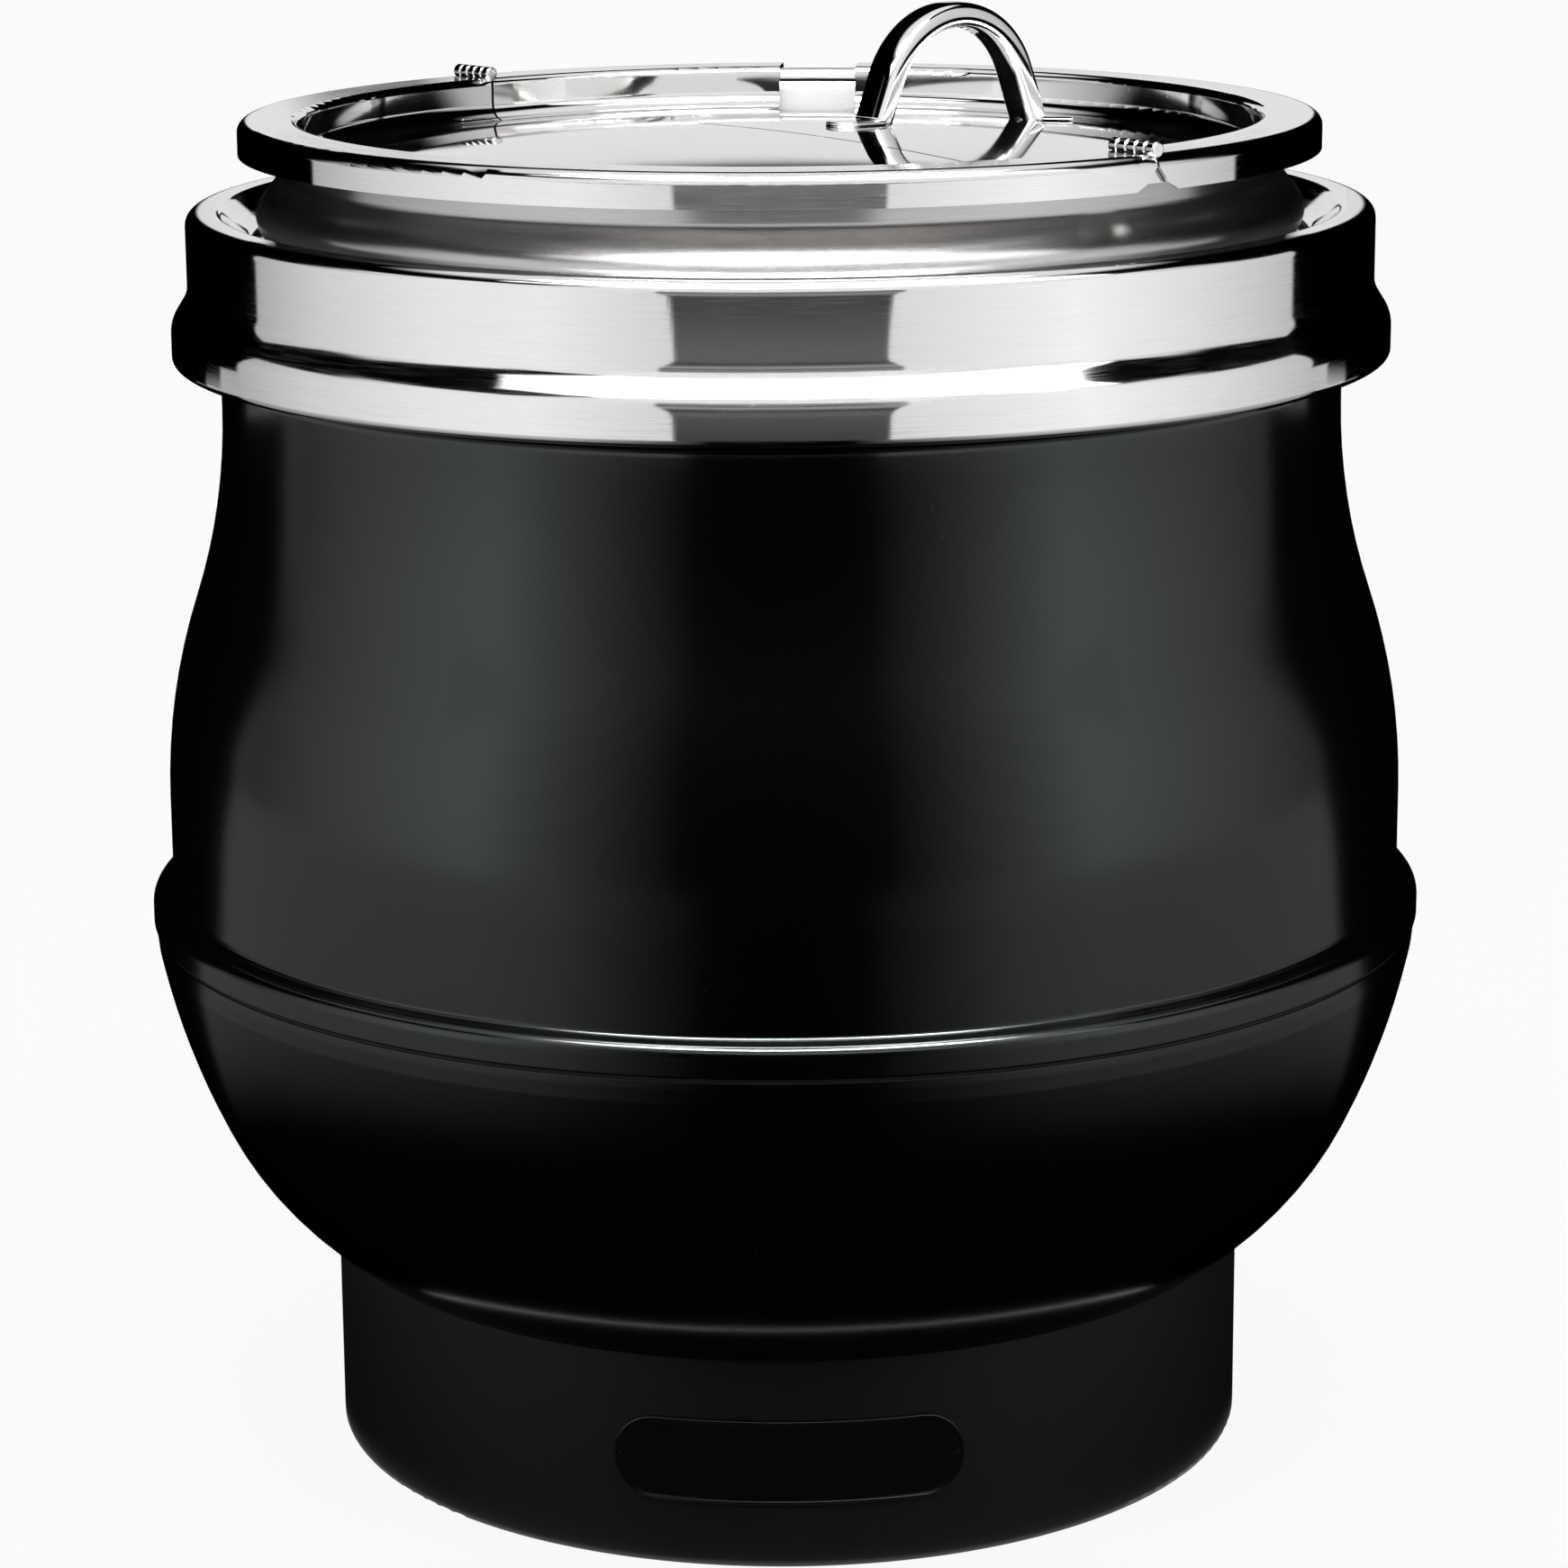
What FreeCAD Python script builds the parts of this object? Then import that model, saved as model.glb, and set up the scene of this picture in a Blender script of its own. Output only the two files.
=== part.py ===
import FreeCAD, Part
import math
import os
from FreeCAD import Vector

# A bain-marie soup kettle: a black two-shell body on a round plinth, a polished
# collar, a lift-out pot and a lid split across its middle, one half of which is
# a hinged flap. Millimetres, +Z up, the origin on the table under the centre.
# The controls are at the rear, on +Y, and the blank badge is at the front.

# Pot, the lift-out vessel that sets every radius above the plinth
pot_r = 132.0
pot_wall = 1.0
pot_depth = 185.0
pot_corner_round = 26.0
pot_foot_width = 6.5
pot_bead_step = 10.8
pot_bead_rise = 5.0
pot_bead_height = 17.0
pot_bead_round = 7.0
pot_neck_step = 2.5
pot_neck_height = 13.1
pot_neck_round = 3.5
rim_width = 5.0
rim_height = 4.0

# Well, the fixed water vessel around the pot
water_gap = 11.5
well_wall = 1.0
well_corner_round = 14.0
well_floor_gap = 52.0
well_bend = 1.0
well_gap = 0.5

# Collar, the polished ring that carries the pot
seat_gap = 1.5
seat_drop = 7.5
seat_width = 9.5
seat_lip = 7.0
collar_wall = 1.5
collar_height = 40.0
collar_step = 8.2
collar_edge_round = 3.5
collar_top_width = 9.0
collar_lip_round = 3.0
bead_step = 4.7
bead_low_round = 1.8
bead_rise = 10.5
bead_slope = 7.5
bead_round = 9.0
seal_thick = 1.0
stud_count = 6
stud_r = 1.5
stud_reach = 7.5
stud_edge = 2.0
stud_nut_width = 5.0
stud_nut_thick = 2.4

# Upper shell, from the neck under the collar down to the belly seam
shell_wall = 1.5
neck_ledge = 8.4
neck_straight = 10.5
neck_edge_round = 2.0
shoulder_step = 17.8
shoulder_start = 35.0
belly_step = 5.7
belly_band = 7.8
belly_slope = 1.1
belly_round = 3.2
belly_crease_round = 1.2

# Lower bowl, from the belly seam down to the plinth
seam_gap = 1.0
bowl_height = 90.0
bowl_lip_setback = 0.8
bowl_lip_step = 1.2
bowl_lip_height = 8.0
bowl_lip_slope = 4.0
bowl_lip_round = 6.0
bowl_foot_angle = 34.0
bowl_top_angle = 79.0
bowl_overhang = 0.5
seal_depth = 3.0
seal_height = 11.0

# Plinth and what closes it underneath
foot_stand = 1.0
foot_r = 11.0
foot_flare = 1.0
foot_stem_r = 3.0
foot_bulb_r = 4.5
foot_bulb_height = 3.0
foot_circle_r = 92.0
foot_count = 4
plinth_r = 127.0
plinth_height = 58.0
plinth_wall = 3.0
plinth_edge_round = 2.5
shelf_width = 28.0
shelf_thick = 3.0
base_recess = 4.0
base_plate_thick = 1.5
boss_r = 4.5
boss_count = 3
screw_r = 1.6
screw_head_r = 3.4
screw_head_thick = 1.8
screw_length = 14.0
vent_count = 7
vent_width = 5.0
vent_length = 26.0
vent_circle_r = 66.0
vent_pitch = 20.0
bolt_count = 4
bolt_r = 2.5
bolt_head_r = 4.5
bolt_head_thick = 2.8
bolt_nut_width = 8.0
bolt_nut_thick = 3.5
bolt_end = 1.0

# Blank badge on the front of the plinth
badge_width = 93.0
badge_height = 23.2
badge_thick = 1.2
badge_corner_r = 11.0
badge_centre_height = 30.0

# Rear panel, a flat pocket in the plinth with the knob, the lamp and the gland
panel_depth = 7.0
panel_thick = 4.0
panel_width = 80.0
panel_margin = 2.5
control_spacing = 27.5

# Energy regulator and its knob
regulator_width = 32.0
regulator_height = 28.0
regulator_depth = 24.0
regulator_neck_r = 5.0
shaft_r = 3.0
shaft_depth = 9.0
dial_r = 18.0
dial_thick = 0.8
nut_width = 14.0
nut_thick = 2.5
knob_r = 14.5
knob_top_r = 12.5
knob_length = 15.0
knob_edge_round = 1.5
knob_hollow_depth = 5.0
knob_bore_depth = 11.5
flute_count = 12
flute_r = 3.0
flute_bite = 0.9

# Pilot lamp and cord gland
lens_r = 5.0
lens_stem_r = 3.5
lens_rim_width = 1.5
lens_rim_thick = 1.2
lens_dome = 3.2
lens_stem_length = 16.0
clip_width = 2.6
clip_thick = 2.5
cord_bore_r = 4.0
gland_r = 6.5
gland_flange_width = 16.0
gland_flange_thick = 4.0
gland_nose_r = 6.0
gland_nose_length = 10.0
gland_tail_length = 8.0
gland_nut_width = 18.0
gland_nut_thick = 4.0

# Heater under the well and what stands under it
post_count = 3
post_r = 5.0
post_height = 34.5
post_circle_r = 74.0
post_screw_r = 2.0
post_screw_depth = 12.0
heat_plate_r = 105.0
heat_plate_thick = 4.0
element_ring_r = 88.0
element_tube_r = 4.2
element_sweep = 320.0
element_leg = 14.0
terminal_pin_r = 2.0
terminal_pin_length = 6.0
clamp_count = 3
clamp_width = 12.0
clamp_thick = 3.0
clamp_heel = 3.0
clamp_inner_reach = 26.0
clamp_outer_reach = 10.0
clamp_stud_r = 2.5
clamp_nut_width = 8.0
clamp_nut_thick = 3.5
clamp_stud_end = 1.5
cutout_r = 10.0
cutout_height = 7.0
cutout_tab_width = 6.3
cutout_tab_thick = 0.8
cutout_tab_length = 9.0
cutout_tab_spacing = 9.0

# Wiring pieces in the plinth
wire_hole_r = 16.0
grommet_wall = 3.0
grommet_flange = 3.0
grommet_flange_thick = 2.0
block_width = 32.0
block_depth = 20.0
block_height = 16.0
block_ways = 3
block_screw_r = 2.6
block_screw_depth = 9.0
block_x = -45.0
block_y = 30.0
earth_x = 45.0
earth_y = 30.0
earth_stud_r = 2.5
earth_stud_height = 14.0
earth_washer_width = 3.5
earth_washer_thick = 1.0
earth_nut_width = 8.0
earth_nut_thick = 4.0

# Lid, split along a diameter: the flap lies towards +X and +Y
lid_wall = 1.2
lid_plug_gap = 3.1
lid_overhang = 6.0
lid_skirt_height = 8.9
lid_edge_round = 3.0
lid_brow_round = 2.0
lid_recess_depth = 11.3
lid_floor_round = 4.5
lid_dome_rise = 6.0
lid_dome_margin = 9.0
split_gap = 0.8
split_angle = 130.0
notch_angle = 85.0
notch_width = 22.5
notch_start_r = 78.0
notch_corner_r = 5.0

# Hinges of the flap
knuckle_count = 5
knuckle_r = 2.0
knuckle_round = 0.6
knuckle_gap = 0.25
knuckle_clearance = 0.35
hinge_lift = 0.4
pin_r = 1.0
pin_running_gap = 0.05

# Relief of the skirt at both ends of the split, and the fixed half's tab behind it
relief_half_width = 7.2
relief_step = 1.7
relief_step_half = 3.9
relief_height = 6.4
tab_gap = 0.3
tab_rise = 3.8
tab_reach = 5.0
tab_hold = 10.0

# Handle on the flap, an arch that stands along a radius
handle_angle = 40.0
handle_mid_r = 62.5
handle_arch_r = 25.5
handle_arch_lift = 3.5
handle_splay = 21.5
handle_half_width = 5.2
handle_half_thick = 3.5
handle_round = 2.2
handle_foot_reach = 15.5
handle_foot_inset = 4.0
handle_foot_thick = 1.8
handle_sink = 20.0

# Clearances between pieces that are put together by hand
slip = 0.1
fit_gap = 0.3
facing_gap = 0.5

# Rounding of small moulded edges
small_round = 0.8

# Radii that follow from the sizes above
collar_bore_r = pot_r + seat_gap
well_r = pot_r + water_gap
ledge_r = well_r + well_bend + well_gap
neck_r = well_r + neck_ledge
stud_circle_r = ledge_r + stud_edge
collar_r = neck_r + collar_step
collar_bead_r = collar_r + bead_step
shell_r = neck_r + shoulder_step
belly_r = shell_r + belly_step
bowl_lip_r = belly_r - bowl_lip_setback
bowl_top_r = bowl_lip_r - bowl_lip_step
plinth_inner_r = plinth_r - plinth_wall
shelf_r = plinth_inner_r - shelf_width
shelf_circle_r = plinth_inner_r - shelf_width / 2
pot_neck_r = pot_r + pot_neck_step
rim_r = pot_neck_r + rim_width
lid_plug_r = pot_neck_r - pot_wall - lid_plug_gap
lid_recess_r = lid_plug_r - lid_wall
lid_r = rim_r + lid_overhang

# Heights that follow from the sizes above, stacked from the table upwards
plinth_z = foot_stand
plate_z = plinth_z + base_recess
plate_top_z = plate_z + base_plate_thick
floor_z = plinth_z + plinth_height
shelf_z = floor_z - shelf_thick
floor_top_z = floor_z + shell_wall
seam_z = floor_z + bowl_height
shell_z = seam_z + seam_gap
heat_z = floor_top_z + post_height
well_z = heat_z + heat_plate_thick
pot_z = well_z + well_wall + well_floor_gap
seat_z = pot_z + pot_depth
collar_top_z = seat_z + seat_drop
collar_z = collar_top_z - collar_height
well_rim_z = collar_z - seal_thick
neck_z = well_rim_z - well_wall
crease_z = seat_z + pot_bead_height
rim_z = crease_z + pot_neck_height
lid_top_z = rim_z + lid_wall
hinge_z = rim_z + hinge_lift + knuckle_r
lid_floor_z = lid_top_z - lid_recess_depth
skirt_z = lid_top_z - lid_skirt_height
element_z = heat_z - element_tube_r
clamp_z = element_z - element_tube_r - clamp_thick

# Rear panel's place
panel_y = plinth_r - panel_depth
panel_inner_y = panel_y - panel_thick
panel_low_z = plate_top_z + facing_gap
panel_mid_z = (panel_low_z + shelf_z) / 2
lamp_x = control_spacing
gland_x = -control_spacing

origin = Vector(0, 0, 0)
up = Vector(0, 0, 1)
rearward = Vector(0, 1, 0)


# Outlines in the plane of radius and height

def rounded(corners):
    """Edges of a closed outline: straight runs through (r, z, round) corners, with tangent arcs."""
    points = [Vector(corner[0], 0, corner[1]) for corner in corners]
    rounds = [corner[2] if len(corner) > 2 else 0.0 for corner in corners]
    count = len(points)
    arrive = list(points)
    leave = list(points)
    arcs = [None] * count
    for i in range(count):
        if rounds[i] > 0:
            back = (points[i - 1] - points[i]).normalize()
            ahead = (points[(i + 1) % count] - points[i]).normalize()
            half = back.getAngle(ahead) / 2
            reach = rounds[i] / math.tan(half)
            inward = (back + ahead).normalize()
            arrive[i] = points[i] + back * reach
            leave[i] = points[i] + ahead * reach
            middle = points[i] + inward * (rounds[i] / math.sin(half) - rounds[i])
            arcs[i] = Part.Arc(arrive[i], middle, leave[i]).toShape()
    edges = []
    for i in range(count):
        if arcs[i]:
            edges.append(arcs[i])
        start = leave[i]
        end = arrive[(i + 1) % count]
        if start.distanceToPoint(end) > 1e-6:
            edges.append(Part.LineSegment(start, end).toShape())
    return edges


def shifted(skin, wall):
    """The same runs moved by wall to their left, with every round kept concentric."""
    points = [Vector(corner[0], corner[1], 0) for corner in skin]
    ways = [(b - a).normalize() for a, b in zip(points, points[1:])]
    befores = ways[:1] + ways
    afters = ways + ways[-1:]
    moved = []
    for corner, point, before, after in zip(skin, points, befores, afters):
        left_before = Vector(-before.y, before.x, 0)
        left_after = Vector(-after.y, after.x, 0)
        step = (left_before + left_after) * (wall / (1 + left_before.dot(left_after)))
        turn = before.x * after.y - before.y * after.x
        radius = 0.0
        if len(corner) > 2:
            radius = max(corner[2] - math.copysign(wall, wall * turn), 0.0)
        moved.append((point.x + step.x, point.y + step.y, radius))
    return moved


def turned(corners):
    """Solid of revolution about Z of the closed outline through the corners."""
    face = Part.Face(Part.Wire(rounded(corners)))
    return face.revolve(origin, up, 360)


def pressed(skin, wall):
    """Turned sheet-metal piece: its skin's corners and the wall to the left of them."""
    return turned(skin + shifted(skin, wall)[::-1])


def ring(inner_r, outer_r, low, high):
    return turned([(inner_r, low), (outer_r, low), (outer_r, high), (inner_r, high)])


# A bend that turns by less than this is as good as straight, so it gets no arc
straight_turn = math.radians(0.5)


def two_arcs(start, start_angle, end, end_angle):
    """Corners of two tangent arcs that leave start and reach end at the given angles."""
    first = Vector(math.cos(math.radians(start_angle)), math.sin(math.radians(start_angle)), 0)
    last = Vector(math.cos(math.radians(end_angle)), math.sin(math.radians(end_angle)), 0)
    chord = Vector(end[0] - start[0], end[1] - start[1], 0)
    both = first + last
    square = both.dot(both) - 4
    slope = -2 * chord.dot(both)
    reach = -chord.dot(chord) / slope
    if abs(square) > 1e-9:
        reach = (-slope - math.sqrt(slope * slope - 4 * square * chord.dot(chord))) / (2 * square)
    near = Vector(start[0], start[1], 0) + first * reach
    far = Vector(end[0], end[1], 0) - last * reach
    across = far - near
    corners = []
    for point, way in ((near, first), (far, last)):
        turn = across.getAngle(way)
        corners.append((point.x, point.y, reach / math.tan(turn / 2) if turn > straight_turn else 0.0))
    return corners


# Placing and repeating

def spun(shape, angle):
    copy = shape.copy()
    copy.rotate(origin, up, angle)
    return copy


def around(shape, count, start=0.0):
    return [spun(shape, start + i * 360.0 / count) for i in range(count)]


def group(shapes):
    return Part.makeCompound(shapes)


def peg(radius, x, y, low, high):
    return Part.makeCylinder(radius, high - low, Vector(x, y, low), up)


def panel_hole(radius, x):
    """Round bar along +Y through the rear panel, at the height of its middle."""
    return Part.makeCylinder(radius, panel_thick, Vector(x, panel_inner_y, panel_mid_z), rearward)


def block(x0, x1, y0, y1, z0, z1):
    return Part.makeBox(x1 - x0, y1 - y0, z1 - z0, Vector(x0, y0, z0))


def hexagon(width, x, y, low, high):
    """Hexagonal bar along Z with the given width across its flats."""
    radius = width / math.sqrt(3)
    turns = [math.radians(30 + 60 * i) for i in range(7)]
    corners = [Vector(x + radius * math.cos(turn), y + radius * math.sin(turn), low) for turn in turns]
    return Part.Face(Part.makePolygon(corners)).extrude(Vector(0, 0, high - low))


def faced_back(shape, x):
    """Turns a piece that was made along +Z so that it points out of the rear panel."""
    copy = shape.copy()
    copy.rotate(origin, Vector(1, 0, 0), -90)
    copy.translate(Vector(x, panel_y, panel_mid_z))
    return copy


def slot(length, width, low, high):
    """Bar with round ends along X, centred on the axis."""
    half = length / 2 - width / 2
    bar = block(-half, half, -width / 2, width / 2, low, high)
    return bar.fuse([peg(width / 2, -half, 0, low, high), peg(width / 2, half, 0, low, high)]).removeSplitter()


# Body: plinth, bowl, shell, well and collar

def base_plinth():
    edge = min(plinth_edge_round, 0.9 * plinth_wall)
    body = turned([(plinth_inner_r, plinth_z), (plinth_r, plinth_z, edge), (plinth_r, floor_z),
                   (shelf_r, floor_z), (shelf_r, shelf_z), (plinth_inner_r, shelf_z)])
    boss = peg(boss_r, shelf_circle_r, 0, plate_top_z, shelf_z)
    half = panel_width / 2
    back = block(-half - panel_margin, half + panel_margin, panel_inner_y, plinth_r, panel_low_z, shelf_z)
    back = back.common(ring(0, plinth_r, plinth_z, floor_z))
    body = body.fuse(around(boss, boss_count, -90) + [back]).removeSplitter()
    pocket = block(-half, half, panel_y, plinth_r + 1,
                   panel_low_z + panel_margin, shelf_z - panel_margin)
    screw_hole = peg(screw_r, shelf_circle_r, 0, plate_top_z, plate_top_z + screw_length)
    bolt_hole = peg(bolt_r + slip, shelf_circle_r, 0, shelf_z, floor_z)
    holes = [panel_hole(regulator_neck_r + slip, 0), panel_hole(lens_stem_r + slip, lamp_x),
             panel_hole(gland_r + slip, gland_x)]
    cuts = [pocket] + holes + around(screw_hole, boss_count, -90) + around(bolt_hole, bolt_count, 45)
    return body.cut(cuts)


def base_plate():
    plate = ring(0, plinth_inner_r - fit_gap, plate_z, plate_top_z)
    screw_hole = peg(screw_r + slip, shelf_circle_r, 0, plate_z, plate_top_z)
    foot_hole = peg(foot_stem_r + slip, foot_circle_r, 0, plate_z, plate_top_z)
    vent = slot(vent_length, vent_width, plate_z, plate_top_z)
    vent.translate(Vector(vent_circle_r, 0, 0))
    first_vent = -90 - vent_pitch * (vent_count - 1) / 2
    vents = [spun(vent, first_vent + vent_pitch * i) for i in range(vent_count)]
    earth_hole = peg(earth_stud_r, earth_x, earth_y, plate_z, plate_top_z)
    cuts = around(screw_hole, boss_count, -90) + around(foot_hole, foot_count, 45)
    return plate.cut(cuts + vents + [earth_hole])


def rubber_feet():
    foot = turned([(0, 0), (foot_r, 0, foot_flare), (foot_r + foot_flare, plate_z), (foot_stem_r, plate_z),
                   (foot_stem_r, plate_top_z), (foot_bulb_r, plate_top_z),
                   (foot_stem_r, plate_top_z + foot_bulb_height), (0, plate_top_z + foot_bulb_height)])
    foot.translate(Vector(foot_circle_r, 0, 0))
    return group(around(foot, foot_count, 45))


def base_screws():
    shank = peg(screw_r - slip / 2, shelf_circle_r, 0, plate_z, plate_top_z + screw_length - slip)
    head = peg(screw_head_r, shelf_circle_r, 0, plate_z - screw_head_thick, plate_z)
    return group(around(head.fuse(shank), boss_count, -90))


def badge_plate():
    low = plinth_z + badge_centre_height - badge_height / 2
    high = low + badge_height
    skin = ring(plinth_r, plinth_r + badge_thick, low, high)
    half = badge_width / 2
    blank = block(-half, half, -plinth_r - badge_thick - 1, 0, low, high)
    corner = min(badge_corner_r, 0.49 * badge_height, 0.49 * badge_width)
    upright = [edge for edge in blank.Edges if edge.Length > plinth_r]
    return skin.common(blank.makeFillet(corner, upright))


def lower_bowl():
    foot = (plinth_r + bowl_overhang, floor_z)
    top = (bowl_top_r, seam_z - bowl_lip_height)
    lip_low_z = seam_z - bowl_lip_height + bowl_lip_slope
    skin = [(wire_hole_r, floor_z), foot]
    skin += two_arcs(foot, bowl_foot_angle, top, bowl_top_angle)
    lean = (lip_low_z - top[1]) / math.tan(math.radians(bowl_top_angle))
    skin += [(bowl_top_r + lean, lip_low_z - bowl_lip_slope / 2, bowl_lip_round),
             (bowl_lip_r, lip_low_z + bowl_lip_slope / 2, bowl_lip_round), (bowl_lip_r, seam_z)]
    bolt_hole = peg(bolt_r + slip, shelf_circle_r, 0, floor_z, floor_top_z)
    post_hole = peg(post_screw_r + slip, post_circle_r, 0, floor_z, floor_top_z)
    holes = around(bolt_hole, bolt_count, 45) + around(post_hole, post_count, 90)
    return pressed(skin, shell_wall).cut(holes)


def bowl_bolts():
    shank = peg(bolt_r, shelf_circle_r, 0, shelf_z, floor_top_z + bolt_nut_thick + bolt_end)
    head = peg(bolt_head_r, shelf_circle_r, 0, shelf_z - bolt_head_thick, shelf_z)
    return group(around(head.fuse(shank), bolt_count, 45))


def bowl_nuts():
    nut = hexagon(bolt_nut_width, shelf_circle_r, 0, floor_top_z, floor_top_z + bolt_nut_thick)
    nut = nut.cut(peg(bolt_r, shelf_circle_r, 0, floor_top_z, floor_top_z + bolt_nut_thick))
    return group(around(nut, bolt_count, 45))


def belly_seal():
    """T-section ring: its web lies between the two sheet edges and its flange backs both."""
    back_r = bowl_top_r - shell_wall - slip
    middle_z = (seam_z + shell_z) / 2
    return turned([(back_r - seal_depth, middle_z - seal_height / 2), (back_r, middle_z - seal_height / 2),
                   (back_r, seam_z), (bowl_lip_r - fit_gap, seam_z), (bowl_lip_r - fit_gap, shell_z),
                   (back_r, shell_z), (back_r, middle_z + seal_height / 2),
                   (back_r - seal_depth, middle_z + seal_height / 2)])


def upper_shell():
    shoulder = (shell_r, shell_z + shoulder_start)
    neck = (neck_r, neck_z - neck_straight)
    band_z = shell_z + belly_band
    skin = [(belly_r, shell_z), (belly_r, band_z, belly_round),
            (shell_r, band_z + belly_slope, belly_crease_round)]
    skin += two_arcs(shoulder, 90, neck, 90)
    skin += [(neck_r, neck_z, neck_edge_round), (ledge_r, neck_z)]
    stud_hole = peg(stud_r + slip, stud_circle_r, 0, neck_z - shell_wall, neck_z)
    return pressed(skin, shell_wall).cut(around(stud_hole, stud_count, 30))


def water_well():
    skin = [(0, well_z), (well_r, well_z, well_corner_round), (well_r, neck_z, well_bend),
            (neck_r - facing_gap, neck_z)]
    stud_hole = peg(stud_r + slip, stud_circle_r, 0, neck_z, well_rim_z)
    return pressed(skin, well_wall).cut(around(stud_hole, stud_count, 30))


def collar_seal():
    seal = ring(ledge_r, neck_r - facing_gap, well_rim_z, collar_z)
    stud_hole = peg(stud_r + slip, stud_circle_r, 0, well_rim_z, collar_z)
    return seal.cut(around(stud_hole, stud_count, 30))


def collar():
    bead_z = collar_z + bead_rise
    skin = [(ledge_r, collar_z), (collar_bead_r, collar_z, bead_low_round), (collar_bead_r, bead_z, bead_round),
            (collar_r, bead_z + bead_slope, bead_round), (collar_r, collar_top_z, collar_edge_round),
            (collar_r - collar_top_width, collar_top_z, collar_lip_round),
            (collar_bore_r + seat_width, seat_z, collar_lip_round),
            (collar_bore_r, seat_z, collar_wall), (collar_bore_r, seat_z - seat_lip)]
    stud = peg(stud_r, stud_circle_r, 0, collar_z - stud_reach, collar_z)
    return pressed(skin, collar_wall).fuse(around(stud, stud_count, 30)).removeSplitter()


def collar_nuts():
    low = neck_z - shell_wall - stud_nut_thick
    nut = hexagon(stud_nut_width, stud_circle_r, 0, low, neck_z - shell_wall)
    nut = nut.cut(peg(stud_r, stud_circle_r, 0, low, neck_z - shell_wall))
    return group(around(nut, stud_count, 30))


# Heater under the well

def heat_plate():
    plate = ring(0, heat_plate_r, heat_z, well_z)
    stud_low = clamp_z - clamp_nut_thick - clamp_stud_end
    stud = peg(clamp_stud_r, clamp_stud_circle_r, 0, stud_low, heat_z)
    return plate.fuse(around(stud, clamp_count, -90)).removeSplitter()


def heating_element():
    """Sheathed ring with both ends turned down into terminal pins, its gap at the rear."""
    section = Part.Circle(Vector(element_ring_r, 0, element_z), Vector(0, 1, 0), element_tube_r).toShape()
    tube = Part.Face(Part.Wire(section)).revolve(origin, up, element_sweep)
    ends = []
    for angle in (0.0, element_sweep):
        elbow = Part.makeSphere(element_tube_r, Vector(element_ring_r, 0, element_z))
        low = element_z - element_leg
        leg = peg(element_tube_r, element_ring_r, 0, low, element_z)
        pin = peg(terminal_pin_r, element_ring_r, 0, low - terminal_pin_length, low)
        ends += [spun(piece, angle) for piece in (elbow, leg, pin)]
    whole = tube.fuse(ends).removeSplitter()
    return spun(whole, 90 + (360 - element_sweep) / 2)


def element_clamps():
    """Bars that press the element up, each with a heel against the heat plate."""
    inner = element_ring_r - clamp_inner_reach
    half = clamp_width / 2
    bar = block(inner, element_ring_r + clamp_outer_reach, -half, half, clamp_z, clamp_z + clamp_thick)
    heel = block(inner, inner + clamp_heel, -half, half, clamp_z + clamp_thick, heat_z)
    hole = peg(clamp_stud_r + slip, clamp_stud_circle_r, 0, clamp_z, clamp_z + clamp_thick)
    return group(around(bar.fuse(heel).removeSplitter().cut(hole), clamp_count, -90))


def clamp_nuts():
    low = clamp_z - clamp_nut_thick
    nut = hexagon(clamp_nut_width, clamp_stud_circle_r, 0, low, clamp_z)
    nut = nut.cut(peg(clamp_stud_r, clamp_stud_circle_r, 0, low, clamp_z))
    return group(around(nut, clamp_count, -90))


def support_posts():
    post = peg(post_r, post_circle_r, 0, floor_top_z, heat_z)
    bore = peg(post_screw_r + slip / 2, post_circle_r, 0, floor_top_z, floor_top_z + post_screw_depth)
    return group(around(post.cut(bore), post_count, 90))


def post_screws():
    shank = peg(post_screw_r, post_circle_r, 0, floor_z, floor_top_z + post_screw_depth - slip)
    head = peg(screw_head_r, post_circle_r, 0, floor_z - screw_head_thick, floor_z)
    return group(around(head.fuse(shank), post_count, 90))


def thermal_cutout():
    can = peg(cutout_r, 0, 0, heat_z - cutout_height, heat_z)
    tabs = []
    for side in (-1, 1):
        x = side * cutout_tab_spacing / 2
        tabs.append(block(x - cutout_tab_thick / 2, x + cutout_tab_thick / 2, -cutout_tab_width / 2,
                          cutout_tab_width / 2, heat_z - cutout_height - cutout_tab_length,
                          heat_z - cutout_height))
    return can.fuse(tabs)


# Rear panel: regulator, knob, lamp and gland, made along +Z from the panel's face

def energy_regulator():
    case = block(-regulator_width / 2, regulator_width / 2, -regulator_height / 2, regulator_height / 2,
                 -panel_thick - regulator_depth, -panel_thick)
    neck = peg(regulator_neck_r, 0, 0, -panel_thick, dial_thick + nut_thick + facing_gap)
    bore = peg(shaft_r + pin_running_gap, 0, 0, -panel_thick - shaft_depth, dial_thick + nut_thick + 1)
    return faced_back(case.fuse(neck).cut(bore), 0)


def regulator_nut():
    nut = hexagon(nut_width, 0, 0, dial_thick, dial_thick + nut_thick)
    return faced_back(nut.cut(peg(regulator_neck_r, 0, 0, dial_thick, dial_thick + nut_thick)), 0)


def dial_plate():
    return faced_back(ring(regulator_neck_r + slip, dial_r, 0, dial_thick), 0)


def knob_shaft():
    low = -panel_thick - shaft_depth + facing_gap
    return faced_back(peg(shaft_r, 0, 0, low, knob_low + knob_bore_depth), 0)


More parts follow.
